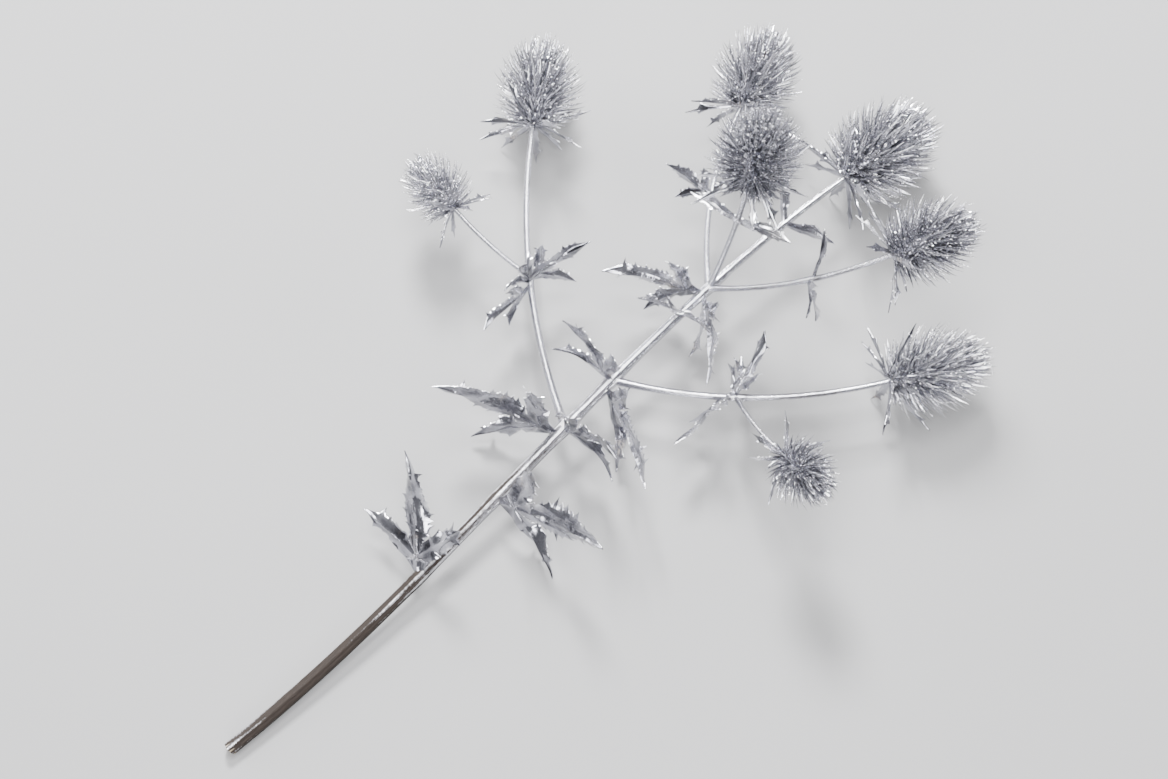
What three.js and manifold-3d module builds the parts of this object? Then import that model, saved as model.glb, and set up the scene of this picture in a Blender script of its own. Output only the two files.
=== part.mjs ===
// A dried sea holly stem, cut and laid on a flat surface: one branching ribbed stem, eight
// spiny flower heads, a collar of toothed bracts under each head and cut leaves at the nodes.
// Millimetres, +Z up. The cut end lies at low Y and the heads point towards +Y.
import * as THREE from 'three';
import { ConvexGeometry } from 'three/addons/geometries/ConvexGeometry.js';
import { mergeVertices } from 'three/addons/utils/BufferGeometryUtils.js';
import Module from 'manifold-3d';

const wasm = await Module();
wasm.setup();

const { clamp, lerp } = THREE.MathUtils;

const DEGREE = Math.PI / 180;
const GOLDEN_ANGLE = Math.PI * (3 - Math.sqrt(5));
const GAP = 0.3; // clearance between touching pieces
const WELD = 1e-4; // corners nearer than this are one corner

// Stem
const MAIN_SIDES = 12;
const SHOOT_SIDES = 8;
const RIB = 0.06; // ribs stand out and furrows lie in by this share of the radius
const CUT_RADIUS = 4; // at the cut end
const TOP_RADIUS = 1.7; // under the top head
const TAPER = 2.2; // above 1, the main stem keeps its radius low down and narrows near the top
const CUT_SLANT = 0.35; // the cut end leans by this slope
const LEFT_NODE = 0.55; // places on the main stem where its shoots leave
const RIGHT_NODE = 0.63;
const UPPER_NODE = 0.79;
const LEAFY_KNOTS = [0.3, 0.43, 0.91]; // places on the main stem with leaves alone

// Swellings of the radius where shoots or leaves stand: height, and reach along the shoot
const FORK_SWELLING = [0.9, 0.02];
const KNOT_SWELLING = [0.35, 0.015];
const SHOOT_SWELLING = [0.45, 0.04];
const SHOOT_FOOT_SWELLING = [0.4, 0.08];
const KNOT_RINGS = 0.02; // each swelling has a ring at its middle and one this far on either side
const RING_CLEARANCE = 1.5 * KNOT_RINGS; // the other rings keep this far from its middle

// Blades
const BLADE_THICKNESS = 0.8;
const NOTCHED_SHARE = 0.8; // of a lobe's length, and the rest is its point
const WIDTH_SPAN = [0.12, 0.88]; // a lobe's width follows this stretch of a half wave
const WIDTH_BLUNTNESS = 0.6; // 1 gives a plain half wave, less a lobe with straighter sides
const NARROWEST = 0.35; // teeth stand on at least this share of a lobe's width
const TOOTH_LIFT = 0.25; // teeth turn up or down by this share of their length
const FIRST_TOOTH = 0.6; // the tooth nearest the sinus is this share of the others
const TOOTH_FORWARD = 0.95; // a tooth ends at this share of its step

// Collar of scale 1
const COLLAR_SINUS = 5; // radius of the disc that the bracts spread from
const BRACT_LENGTH = 33; // from the middle of the head
const BRACT_WIDTH = 4.6;
const BRACT_TOOTH = 2.3;
const BRACT_COUNT = 10;
const SMALL_BRACT_COUNT = 8; // under a head smaller than SMALL_SCALE
const SMALL_SCALE = 0.9;
const BRACT_FOLD = 0.25; // edges stand this share of their distance from the rib above it
const BRACT_SCATTER = 0.3; // of the angle between two bracts
const SPREAD_BRACT = { rise: [-28, -6], reach: [0.9, 1.15], droop: -2.5 };
const UPRIGHT_BRACT = { rise: [22, 38], reach: [1.15, 1.25], droop: 1.5 };

// Flower head of scale 1
const CORE_RADIUS = 8.5;
const CORE_LENGTH = 38;
const CORE_ROUNDING = 0.8; // 1 gives an ellipsoid, less a blunter egg
const CORE_FOOT = 4.6; // radius of the flat foot of the core
const FOOT_SIDES = 8;
const HEAD_LIFT = BLADE_THICKNESS + 2 * GAP; // from the end of the shoot to the foot of the core
const SPINE_LENGTH = 20;
const SPINE_LEAN = [88, 10]; // degrees from the axis, at the foot of the core and at its top
const LEAN_CURVE = 1.15; // above 1, the spines stay flat a little further up the core
const SPINE_JITTER = 3.5 * DEGREE;
const END_REACH = 0.92; // length of the lowest and highest spines, as a share
const MIDDLE_REACH = 0.22; // added to it halfway up the core
const SPINE_REACH = [0.92, 1.08]; // shortest and longest, as shares of the length there
const STEEPEST = 0.3; // cosine between a spine and the outward direction of its face
const SPINE_CLEARANCE = 5; // spines keep this far from the rib of an upright bract

// Leaves, as shares of the leaf's length
const LEAF_STALK = 0.16;
const LEAF_SINUS = 0.15; // from the hub, where the lobes spread, to the sinuses between them
const LEAF_SHOULDER = 0.75 * LEAF_SINUS; // from the hub to the outer corners of the outer lobes
const HALF_FOOT = 0.06;
const WIDEST_HALF_FOOT = 2.5; // millimetres
const MIDDLE_LOBE = { width: 0.23, tooth: 0.045 };
const SIDE_LOBE = { length: 0.55, width: 0.15, tooth: 0.04 };
const SINGLE_WIDTH = 0.24;
const LONG_LEAF = 55; // millimetres; a longer leaf has more teeth
const LONG_LEAF_STEPS = 5; // steps along its middle lobe, with a tooth on both sides of each
const LEAF_STEPS = 3;
const SMALL_LOBE_STEPS = 2; // along an outer or a single lobe
const LOBE_SPREAD = 56 * DEGREE;
const SHOULDER_SPREAD = 45 * DEGREE; // from the rib of an outer lobe to its outer corner
const LEAF_FOLD = 0.35;

const SILVER = { color: 0x9c9da3, metalness: 0.7, roughness: 0.4 };
const SILVER_STEM = { color: 0x8b8888, metalness: 0.5, roughness: 0.5 };

// Seeded draws between 0 and 1.
function seededDraw(seed) {
  let state = seed;
  return () => {
    state = (state + 0x6d2b79f5) | 0;
    let mixed = Math.imul(state ^ (state >>> 15), 1 | state);
    mixed = (mixed + Math.imul(mixed ^ (mixed >>> 7), 61 | mixed)) ^ mixed;
    return ((mixed ^ (mixed >>> 14)) >>> 0) / 4294967296;
  };
}

// ---- Skeleton ----------------------------------------------------------------------------

// Fan is the heading from +Y towards +X, rise is the angle above the surface, both in degrees.
function heading(fan, rise) {
  const flat = Math.cos(rise * DEGREE);
  return new THREE.Vector3(
    Math.sin(fan * DEGREE) * flat,
    Math.cos(fan * DEGREE) * flat,
    Math.sin(rise * DEGREE),
  );
}

// Point, direction, upward and sideways axes of a curve at place t.
function frameOn(curve, t) {
  const point = curve.getPoint(t);
  const along = curve.getTangent(t);
  const side = along.clone().cross(new THREE.Vector3(0, 0, 1)).normalize();
  const up = side.clone().cross(along);
  return { point, along, side, up };
}

function swelling(t, knots, [height, reach]) {
  return knots.reduce((sum, knot) => sum + height * Math.exp(-(((t - knot) / reach) ** 2)), 0);
}

const mainCurve = new THREE.CubicBezierCurve3(
  new THREE.Vector3(0, 0, 4.24),
  new THREE.Vector3(14, 165, 9),
  new THREE.Vector3(-16, 330, 34),
  new THREE.Vector3(6, 500, 36),
);

const shoots = {
  main: {
    curve: mainCurve,
    sides: MAIN_SIDES,
    rings: 22,
    knots: [...LEAFY_KNOTS, LEFT_NODE, RIGHT_NODE, UPPER_NODE],
    radiusAt: (t) => TOP_RADIUS + (CUT_RADIUS - TOP_RADIUS) * (1 - t ** TAPER)
      + swelling(t, [LEFT_NODE, RIGHT_NODE, UPPER_NODE], FORK_SWELLING)
      + swelling(t, LEAFY_KNOTS, KNOT_SWELLING),
  },
};

// A side shoot leaves its parent at place `at`, heading `start`, and ends heading `end`.
function addShoot(name, { from, at, length, start, end, radii, rings, knots }) {
  const origin = shoots[from].curve.getPoint(at);
  const bend = origin.clone().addScaledVector(heading(...start), length / 2);
  const tip = bend.clone().addScaledVector(heading(...end), length / 2);
  shoots[name] = {
    curve: new THREE.QuadraticBezierCurve3(origin, bend, tip),
    sides: SHOOT_SIDES,
    rings,
    knots,
    radiusAt: (t) => lerp(radii[0], radii[1], t)
      + swelling(t, [0], SHOOT_FOOT_SWELLING) + swelling(t, knots, SHOOT_SWELLING),
  };
}

addShoot('left', {
  from: 'main', at: LEFT_NODE, length: 195, start: [-66, 6], end: [-38, -0.3],
  radii: [2.2, 1.6], rings: 11, knots: [0.5],
});
addShoot('right', {
  from: 'main', at: RIGHT_NODE, length: 170, start: [60, 4], end: [30, 0.25],
  radii: [2.2, 1.6], rings: 10, knots: [0.45],
});
addShoot('upper_left', {
  from: 'main', at: UPPER_NODE, length: 118, start: [-52, 6], end: [-20, 2],
  radii: [1.75, 1.5], rings: 7, knots: [0.5],
});
addShoot('upper_right', {
  from: 'main', at: UPPER_NODE, length: 122, start: [58, 30], end: [28, 22],
  radii: [1.75, 1.5], rings: 7, knots: [0.55],
});
addShoot('upright', {
  from: 'main', at: UPPER_NODE, length: 95, start: [-14, 50], end: [-22, 72],
  radii: [1.7, 1.5], rings: 6, knots: [0.6],
});
addShoot('left_small', {
  from: 'left', at: 0.5, length: 60, start: [-104, 16], end: [-88, 10],
  radii: [1.4, 1.25], rings: 4, knots: [],
});
addShoot('right_small', {
  from: 'right', at: 0.45, length: 64, start: [115, 38], end: [95, 28],
  radii: [1.4, 1.25], rings: 4, knots: [],
});

// Heads: the shoot that ends in each, its scale, its slenderness and its number of core points.
const HEADS = [
  { shoot: 'main', scale: 1.15, slender: 1.08, points: 200, roll: 10, seed: 11 },
  { shoot: 'left', scale: 1, slender: 1.05, points: 172, roll: 0, seed: 12 },
  { shoot: 'right', scale: 1, slender: 1.22, points: 182, roll: 0, seed: 13 },
  { shoot: 'upper_left', scale: 1, slender: 1, points: 172, roll: 40, seed: 14 },
  { shoot: 'upper_right', scale: 0.95, slender: 1.1, points: 166, roll: 70, seed: 15 },
  { shoot: 'upright', scale: 1.05, slender: 0.95, points: 172, roll: 25, seed: 16 },
  { shoot: 'left_small', scale: 0.75, slender: 0.95, points: 130, roll: 55, seed: 17 },
  { shoot: 'right_small', scale: 0.75, slender: 1, points: 130, roll: 15, seed: 18 },
];

// Leaves: shoot, place on it, turn round it from the top, rise towards its tip and twist in
// degrees, length, droop of the tip, and one lobe or three.
const LEAVES = [
  { shoot: 'main', at: 0.3, roll: -50, rise: 38, twist: 30, length: 80, droop: -8, lobes: 3 },
  { shoot: 'main', at: 0.43, roll: 64, rise: 16, twist: -25, length: 88, droop: -12, lobes: 3 },
  { shoot: 'main', at: LEFT_NODE - 0.012, roll: -60, rise: -20, twist: 30, length: 84, droop: -8, lobes: 3 },
  { shoot: 'main', at: LEFT_NODE - 0.004, roll: 42, rise: 12, twist: 0, length: 66, droop: -16, lobes: 3 },
  { shoot: 'main', at: RIGHT_NODE - 0.012, roll: 68, rise: -20, twist: -25, length: 78, droop: -8, lobes: 3 },
  { shoot: 'main', at: RIGHT_NODE - 0.004, roll: -40, rise: 8, twist: 15, length: 60, droop: -12, lobes: 3 },
  { shoot: 'main', at: UPPER_NODE - 0.01, roll: -76, rise: -30, twist: 25, length: 62, droop: -8, lobes: 3 },
  { shoot: 'main', at: UPPER_NODE - 0.01, roll: 78, rise: -34, twist: -25, length: 60, droop: -8, lobes: 3 },
  { shoot: 'main', at: UPPER_NODE - 0.045, roll: 4, rise: -10, twist: 20, length: 54, droop: -6, lobes: 3 },
  { shoot: 'main', at: 0.91, roll: -60, rise: 35, twist: 30, length: 34, droop: -3, lobes: 1 },
  { shoot: 'main', at: 0.91, roll: 70, rise: 25, twist: -25, length: 36, droop: -5, lobes: 1 },
  { shoot: 'left', at: 0.49, roll: 70, rise: 25, twist: -25, length: 44, droop: -6, lobes: 3 },
  { shoot: 'left', at: 0.48, roll: -5, rise: 10, twist: 25, length: 40, droop: -8, lobes: 3 },
  { shoot: 'left', at: 0.465, roll: -75, rise: -34, twist: 20, length: 42, droop: -4, lobes: 3 },
  { shoot: 'right', at: 0.44, roll: -70, rise: 28, twist: 25, length: 44, droop: -5, lobes: 3 },
  { shoot: 'right', at: 0.43, roll: -8, rise: 5, twist: -25, length: 40, droop: -7, lobes: 3 },
  { shoot: 'right', at: 0.4, roll: 84, rise: -36, twist: -20, length: 42, droop: -4, lobes: 3 },
  { shoot: 'upper_left', at: 0.5, roll: -70, rise: 25, twist: 30, length: 34, droop: -5, lobes: 3 },
  { shoot: 'upper_left', at: 0.53, roll: 66, rise: 35, twist: -30, length: 32, droop: -4, lobes: 1 },
  { shoot: 'upper_right', at: 0.55, roll: 70, rise: 20, twist: -30, length: 34, droop: -5, lobes: 3 },
  { shoot: 'upper_right', at: 0.58, roll: -58, rise: 35, twist: 30, length: 32, droop: -4, lobes: 1 },
  { shoot: 'upright', at: 0.6, roll: 95, rise: 5, twist: 20, length: 34, droop: -5, lobes: 1 },
  { shoot: 'upright', at: 0.6, roll: -85, rise: 15, twist: -20, length: 32, droop: -6, lobes: 1 },
];

// ---- Meshes and solids -------------------------------------------------------------------

function indexedGeometry(points, faces) {
  const geometry = new THREE.BufferGeometry();
  const coordinates = points.flatMap((point) => point.toArray());
  geometry.setAttribute('position', new THREE.Float32BufferAttribute(coordinates, 3));
  geometry.setIndex(faces.flat());
  return geometry;
}

function toSolid(geometry) {
  const merged = mergeVertices(geometry, WELD);
  return new wasm.Manifold(new wasm.Mesh({
    numProp: 3,
    vertProperties: Float32Array.from(merged.attributes.position.array),
    triVerts: Uint32Array.from(merged.index.array),
  }));
}

function toGeometry(solid) {
  const { vertProperties, triVerts } = solid.getMesh();
  const geometry = new THREE.BufferGeometry();
  geometry.setAttribute('position', new THREE.Float32BufferAttribute(vertProperties, 3));
  geometry.setIndex(new THREE.BufferAttribute(Uint32Array.from(triVerts), 1));
  return geometry;
}

function largestBody(solid) {
  return solid.decompose().reduce((a, b) => (a.volume() > b.volume() ? a : b));
}

function faceted(geometry) {
  const flat = geometry.toNonIndexed();
  flat.computeVertexNormals();
  return flat;
}

// A closed skin through rings of equal counts of points, each ring turning from up to side.
function skin(rings) {
  const sides = rings[0].length;
  const faces = [];
  for (let ring = 0; ring + 1 < rings.length; ring += 1) {
    for (let j = 0; j < sides; j += 1) {
      const next = (j + 1) % sides;
      const a = ring * sides + j;
      const b = ring * sides + next;
      faces.push([a, b, b + sides], [a, b + sides, a + sides]);
    }
  }
  const last = (rings.length - 1) * sides;
  for (let j = 1; j + 1 < sides; j += 1) {
    faces.push([0, j + 1, j], [last, last + j, last + j + 1]);
  }
  return indexedGeometry(rings.flat(), faces);
}

// ---- Stem --------------------------------------------------------------------------------

function ringPlaces({ rings, knots }) {
  const places = [];
  for (let i = 0; i <= rings; i += 1) {
    const t = i / rings;
    if (knots.every((knot) => Math.abs(t - knot) > RING_CLEARANCE)) {
      places.push(t);
    }
  }
  for (const knot of knots) {
    places.push(knot - KNOT_RINGS, knot, knot + KNOT_RINGS);
  }
  return places.sort((a, b) => a - b);
}

// One ribbed tube, `extra` wider than the shoot.
function shootSolid(shoot, extra) {
  const rings = ringPlaces(shoot).map((t) => {
    const { point, along, side, up } = frameOn(shoot.curve, t);
    const slant = t === 0 && shoot === shoots.main ? CUT_SLANT : 0;
    const ring = [];
    for (let j = 0; j < shoot.sides; j += 1) {
      const angle = (2 * Math.PI * j) / shoot.sides;
      const radius = shoot.radiusAt(t) * (j % 2 ? 1 - RIB : 1 + RIB) + extra;
      ring.push(point.clone()
        .addScaledVector(up, radius * Math.cos(angle))
        .addScaledVector(side, radius * Math.sin(angle))
        .addScaledVector(along, -slant * radius * Math.cos(angle)));
    }
    return ring;
  });
  return toSolid(skin(rings));
}

function stemSolid(extra) {
  return Object.values(shoots)
    .map((shoot) => shootSolid(shoot, extra))
    .reduce((sum, solid) => sum.add(solid));
}

// ---- Toothed blades ----------------------------------------------------------------------

// A sheet of triangles given thickness downwards, with one triangulation on both faces.
function thicken({ points, faces }) {
  const count = points.length;
  const below = points.map((point) => point.clone().setZ(point.z - BLADE_THICKNESS));
  const edges = new Set(faces.flatMap(([a, b, c]) => [`${a},${b}`, `${b},${c}`, `${c},${a}`]));
  const walls = [];
  for (const edge of edges) {
    const [a, b] = edge.split(',').map(Number);
    if (!edges.has(`${b},${a}`)) {
      walls.push([a, a + count, b], [b, a + count, b + count]);
    }
  }
  const bottom = faces.map(([a, b, c]) => [a + count, c + count, b + count]);
  return indexedGeometry([...points, ...below], [...faces, ...bottom, ...walls]);
}

// A sheet in the XY plane to which lobes are added, with the point that they spread from.
function newSheet(hubHeight) {
  const sheet = { points: [], faces: [], hubHeight };
  sheet.add = (x, y, z) => {
    sheet.points.push(new THREE.Vector3(x, y, z));
    return sheet.points.length - 1;
  };
  sheet.hub = sheet.add(0, hubHeight, 0);
  return sheet;
}

// A point of a lobe, `across` from its rib and `out` along it. The lobe bends by its rise where
// it leaves its sinus, droops along its length and stands up at its edges.
function lobePoint(sheet, lobe, across, out, lift = 0) {
  const free = Math.max(0, out - lobe.sinus);
  const flat = out - free + free * Math.cos(lobe.rise);
  const edge = free > 0 ? lobe.fold * Math.abs(across) : 0;
  const height = free * Math.sin(lobe.rise) + lobe.droop * (free / lobe.length) ** 2 + edge + lift;
  const x = across * Math.cos(lobe.angle) + flat * Math.sin(lobe.angle);
  const y = sheet.hubHeight - across * Math.sin(lobe.angle) + flat * Math.cos(lobe.angle);
  return sheet.add(x, y, height);
}

// Half the width of a lobe after a number of its steps, without its teeth.
function notchWidth({ width, steps }, step) {
  const phase = lerp(...WIDTH_SPAN, step / steps);
  return (width / 2) * Math.sin(Math.PI * phase) ** WIDTH_BLUNTNESS;
}

// A pointed lobe between two sinus points, with a forward tooth on both sides of every step.
function addLobe(sheet, lobe, sinuses) {
  const { faces, hub } = sheet;
  const { steps, sinus, length } = lobe;
  const edges = [...sinuses];
  const outAt = (step) => sinus + (NOTCHED_SHARE * length - sinus) * (step / steps);
  let centre = lobePoint(sheet, lobe, 0, sinus);
  faces.push([hub, edges[1], centre], [hub, centre, edges[0]]);
  for (let k = 0; k < steps; k += 1) {
    const width = notchWidth(lobe, k + 1);
    const tooth = lobe.tooth * (k === 0 ? FIRST_TOOTH : 1);
    const reach = Math.max(width, lobe.width * NARROWEST) + tooth;
    const nextCentre = lobePoint(sheet, lobe, 0, outAt(k + 1));
    for (const s of [0, 1]) {
      const side = s === 0 ? -1 : 1;
      const lift = TOOTH_LIFT * tooth * ((k + s) % 2 ? -1 : 1);
      const notch = lobePoint(sheet, lobe, side * width, outAt(k + 1));
      const point = lobePoint(sheet, lobe, side * reach, outAt(k + TOOTH_FORWARD), lift);
      const outline = [[centre, edges[s], notch], [centre, notch, nextCentre], [edges[s], point, notch]];
      faces.push(...(s ? outline : outline.map(([a, b, c]) => [a, c, b])));
      edges[s] = notch;
    }
    centre = nextCentre;
  }
  const tip = lobePoint(sheet, lobe, 0, length);
  faces.push([centre, edges[1], tip], [centre, tip, edges[0]]);
}

// Axes of a blade that leaves `radial` rising towards `along`: X across, Y to the tip, Z its face.
function bladeMatrix(point, along, radial, rise, twist = 0) {
  const out = radial.clone().multiplyScalar(Math.cos(rise)).addScaledVector(along, Math.sin(rise));
  const face = along.clone().multiplyScalar(Math.cos(rise)).addScaledVector(radial, -Math.sin(rise));
  face.applyAxisAngle(out, twist);
  const across = out.clone().cross(face);
  return new THREE.Matrix4().makeBasis(across, out, face).setPosition(point);
}

// ---- Collar ------------------------------------------------------------------------------

// The bracts round a head: most stand off or lean back, a few rise beside the spines.
function bractPlan({ scale, seed }) {
  const draw = seededDraw(seed * 101);
  const count = scale < SMALL_SCALE ? SMALL_BRACT_COUNT : BRACT_COUNT;
  const plan = [];
  for (let i = 0; i < count; i += 1) {
    const upright = i % 4 === 2;
    const { rise, reach, droop } = upright ? UPRIGHT_BRACT : SPREAD_BRACT;
    plan.push({
      angle: (2 * Math.PI * (i + BRACT_SCATTER * (draw() - 0.5))) / count,
      rise: lerp(...rise, draw()) * DEGREE,
      length: BRACT_LENGTH * scale * lerp(...reach, draw()),
      width: BRACT_WIDTH * scale,
      tooth: BRACT_TOOTH * scale,
      steps: i % 2 ? 1 : 2,
      sinus: COLLAR_SINUS * scale,
      droop,
      fold: BRACT_FOLD,
      upright,
    });
  }
  return plan;
}

// A star of bracts that share their sinuses. The sheet's Z is the axis of the head.
function collarGeometry(head) {
  const plan = bractPlan(head);
  const sheet = newSheet(0);
  const sinuses = plan.map((bract, i) => {
    const before = i > 0 ? plan[i - 1].angle : plan.at(-1).angle - 2 * Math.PI;
    const angle = (before + bract.angle) / 2;
    return sheet.add(bract.sinus * Math.sin(angle), bract.sinus * Math.cos(angle), 0);
  });
  plan.forEach((bract, i) => addLobe(sheet, bract, [sinuses[i], sinuses[(i + 1) % plan.length]]));
  return thicken(sheet);
}

// ---- Flower head -------------------------------------------------------------------------

// Points spread over an egg-shaped core that stands on a flat foot.
function corePoints({ scale, slender, points }) {
  const spread = [];
  for (let i = 0; i < points; i += 1) {
    const share = (i + 0.5) / points;
    const radius = CORE_RADIUS * scale * Math.sin(Math.acos(1 - 2 * share)) ** CORE_ROUNDING;
    const turn = i * GOLDEN_ANGLE;
    spread.push(new THREE.Vector3(
      radius * Math.sin(turn), CORE_LENGTH * scale * slender * share, radius * Math.cos(turn)));
  }
  for (let j = 0; j < FOOT_SIDES; j += 1) {
    const turn = (2 * Math.PI * j) / FOOT_SIDES;
    spread.push(new THREE.Vector3(Math.sin(turn), 0, Math.cos(turn)).multiplyScalar(CORE_FOOT * scale));
  }
  return spread;
}

// The spine that grows from one point of the core: spread flat at the foot, upright at the top.
function spineLine(foot, head, draw) {
  const share = clamp(foot.y / (CORE_LENGTH * head.scale * head.slender), 0, 1);
  const lean = lerp(...SPINE_LEAN, share ** LEAN_CURVE) * DEGREE + SPINE_JITTER * (2 * draw() - 1);
  const turn = Math.atan2(foot.x, foot.z) + SPINE_JITTER * (2 * draw() - 1);
  const middling = END_REACH + MIDDLE_REACH * Math.sin(Math.PI * share);
  const length = SPINE_LENGTH * head.scale * middling * lerp(...SPINE_REACH, draw());
  const direction = new THREE.Vector3(
    Math.sin(lean) * Math.sin(turn), Math.cos(lean), Math.sin(lean) * Math.cos(turn));
  return { direction, line: new THREE.Line3(foot, foot.clone().addScaledVector(direction, length)) };
}

// The ribs of the bracts that rise beside the spines, in the frame of the head.
function uprightRibs(head) {
  return bractPlan(head).filter((bract) => bract.upright).map((bract) => {
    const radial = new THREE.Vector3(Math.sin(bract.angle), 0, -Math.cos(bract.angle));
    const foot = radial.clone().multiplyScalar(bract.sinus).setY(-GAP);
    const out = radial.multiplyScalar(Math.cos(bract.rise)).setY(Math.sin(bract.rise));
    return new THREE.Line3(foot, foot.clone().addScaledVector(out, bract.length - bract.sinus));
  });
}

// Every triangle of the core's hull carries a three-faced spine, except where a spine would
// grow back into the core or meet an upright bract.
function headGeometry(head) {
  const draw = seededDraw(head.seed);
  const ribs = uprightRibs(head);
  const hull = new ConvexGeometry(corePoints(head)).attributes.position;
  const triangles = [];
  for (let i = 0; i < hull.count; i += 3) {
    const corners = [0, 1, 2].map((n) => new THREE.Vector3().fromBufferAttribute(hull, i + n));
    const middle = corners[0].clone().add(corners[1]).add(corners[2]).divideScalar(3);
    const normal = new THREE.Triangle(...corners).getNormal(new THREE.Vector3());
    const { direction, line } = spineLine(middle, head, draw);
    const crowded = ribs.some((rib) => rib.distanceSqToLine3(line) < SPINE_CLEARANCE ** 2);
    if (normal.dot(direction) < STEEPEST || crowded) {
      triangles.push(corners);
      continue;
    }
    for (let n = 0; n < 3; n += 1) {
      triangles.push([corners[n], corners[(n + 1) % 3], line.end]);
    }
  }
  const geometry = new THREE.BufferGeometry().setFromPoints(triangles.flat());
  return mergeVertices(geometry, WELD);
}

// ---- Leaves ------------------------------------------------------------------------------

// The lobes of a leaf: one, or a long one between two shorter ones.
function leafLobes({ length, lobes, droop }) {
  const shared = { sinus: LEAF_SINUS * length, droop, fold: LEAF_FOLD, rise: 0 };
  const middle = {
    ...shared,
    angle: 0,
    length: (1 - LEAF_STALK) * length,
    width: MIDDLE_LOBE.width * length,
    tooth: MIDDLE_LOBE.tooth * length,
    steps: length > LONG_LEAF ? LONG_LEAF_STEPS : LEAF_STEPS,
  };
  if (lobes === 1) {
    return [{ ...middle, width: SINGLE_WIDTH * length, steps: SMALL_LOBE_STEPS }];
  }
  const side = {
    ...shared,
    length: SIDE_LOBE.length * length,
    width: SIDE_LOBE.width * length,
    tooth: SIDE_LOBE.tooth * length,
    steps: SMALL_LOBE_STEPS,
  };
  return [{ ...side, angle: -LOBE_SPREAD }, middle, { ...side, angle: LOBE_SPREAD }];
}

// A leaf from its foot at the origin to its tip at +Y: a short stalk that widens to the lobes.
function leafBlade(leaf) {
  const plan = leafLobes(leaf);
  const stalk = LEAF_STALK * leaf.length;
  const halfFoot = Math.min(WIDEST_HALF_FOOT, HALF_FOOT * leaf.length);
  const sheet = newSheet(stalk);
  const [footLeft, footMiddle, footRight] = [-halfFoot, 0, halfFoot].map((x) => sheet.add(x, 0, 0));
  const sinusAt = (angle, share) => {
    const reach = share * leaf.length;
    return sheet.add(reach * Math.sin(angle), stalk + reach * Math.cos(angle), 0);
  };
  const shoulder = plan.at(-1).angle + SHOULDER_SPREAD;
  const sinuses = [
    sinusAt(-shoulder, LEAF_SHOULDER),
    ...plan.slice(1).map((lobe, i) => sinusAt((plan[i].angle + lobe.angle) / 2, LEAF_SINUS)),
    sinusAt(shoulder, LEAF_SHOULDER),
  ];
  sheet.faces.push([footLeft, footMiddle, sheet.hub], [footLeft, sheet.hub, sinuses[0]]);
  sheet.faces.push([footMiddle, footRight, sinuses.at(-1)], [footMiddle, sinuses.at(-1), sheet.hub]);
  plan.forEach((lobe, i) => addLobe(sheet, lobe, [sinuses[i], sinuses[i + 1]]));
  return thicken(sheet);
}

// The leaf's place on its shoot, and its blade trimmed to stand clear of the stem.
function placedLeaf(leaf, clearance) {
  const shoot = shoots[leaf.shoot];
  const { point, along, side, up } = frameOn(shoot.curve, leaf.at);
  const roll = leaf.roll * DEGREE;
  const radial = up.clone().multiplyScalar(Math.cos(roll)).addScaledVector(side, Math.sin(roll));
  const matrix = bladeMatrix(point, along, radial, leaf.rise * DEGREE, leaf.twist * DEGREE);
  const trimmed = largestBody(toSolid(leafBlade(leaf)).transform(matrix.elements).subtract(clearance));
  return { matrix, geometry: toGeometry(trimmed.transform(matrix.clone().invert().elements)) };
}

// ---- Assembly ----------------------------------------------------------------------------

function namedMesh(name, geometry, look) {
  const mesh = new THREE.Mesh(faceted(geometry), new THREE.MeshStandardMaterial(look));
  mesh.name = name;
  return mesh;
}

const plant = new THREE.Group();
plant.add(namedMesh('stem', toGeometry(stemSolid(0)), SILVER_STEM));

for (const head of HEADS) {
  const { point, along, side, up } = frameOn(shoots[head.shoot].curve, 1);
  const bloom = new THREE.Group();
  bloom.applyMatrix4(new THREE.Matrix4().makeBasis(side, along, up).setPosition(point));
  bloom.rotateY(head.roll * DEGREE);
  const collar = namedMesh(`collar_${head.shoot}`, collarGeometry(head), SILVER);
  collar.position.y = GAP + BLADE_THICKNESS;
  collar.rotation.x = -Math.PI / 2;
  const spines = namedMesh(`head_${head.shoot}`, headGeometry(head), SILVER);
  spines.position.y = HEAD_LIFT;
  bloom.add(collar, spines);
  plant.add(bloom);
}

const clearance = stemSolid(GAP);
LEAVES.forEach((leaf, i) => {
  const { matrix, geometry } = placedLeaf(leaf, clearance);
  const mesh = namedMesh(`leaf_${leaf.shoot}_${i + 1}`, geometry, SILVER);
  mesh.applyMatrix4(matrix);
  plant.add(mesh);
});

// The origin is the middle of the bounding box's bottom.
const root = new THREE.Group();
root.add(plant);
root.updateMatrixWorld(true);
const box = new THREE.Box3().setFromObject(plant, true);
plant.position.set(-(box.min.x + box.max.x) / 2, -(box.min.y + box.max.y) / 2, -box.min.z);

export default root;
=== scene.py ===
from math import acos, cos, exp, pi, sin, sqrt, tau

import bpy
import numpy as np
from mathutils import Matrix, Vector


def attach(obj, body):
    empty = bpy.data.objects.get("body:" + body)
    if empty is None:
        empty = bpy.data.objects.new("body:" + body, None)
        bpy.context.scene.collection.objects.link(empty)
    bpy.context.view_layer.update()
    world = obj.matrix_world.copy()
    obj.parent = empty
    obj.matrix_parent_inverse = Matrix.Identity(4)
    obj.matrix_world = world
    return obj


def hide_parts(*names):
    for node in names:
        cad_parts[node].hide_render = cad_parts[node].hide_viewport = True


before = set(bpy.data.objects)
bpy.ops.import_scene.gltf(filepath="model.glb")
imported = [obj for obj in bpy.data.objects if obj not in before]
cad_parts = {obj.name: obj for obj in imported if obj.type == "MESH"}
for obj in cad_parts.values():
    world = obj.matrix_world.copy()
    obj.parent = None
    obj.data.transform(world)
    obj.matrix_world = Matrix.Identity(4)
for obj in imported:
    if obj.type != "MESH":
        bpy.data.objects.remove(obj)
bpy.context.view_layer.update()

MM = 0.001
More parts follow.
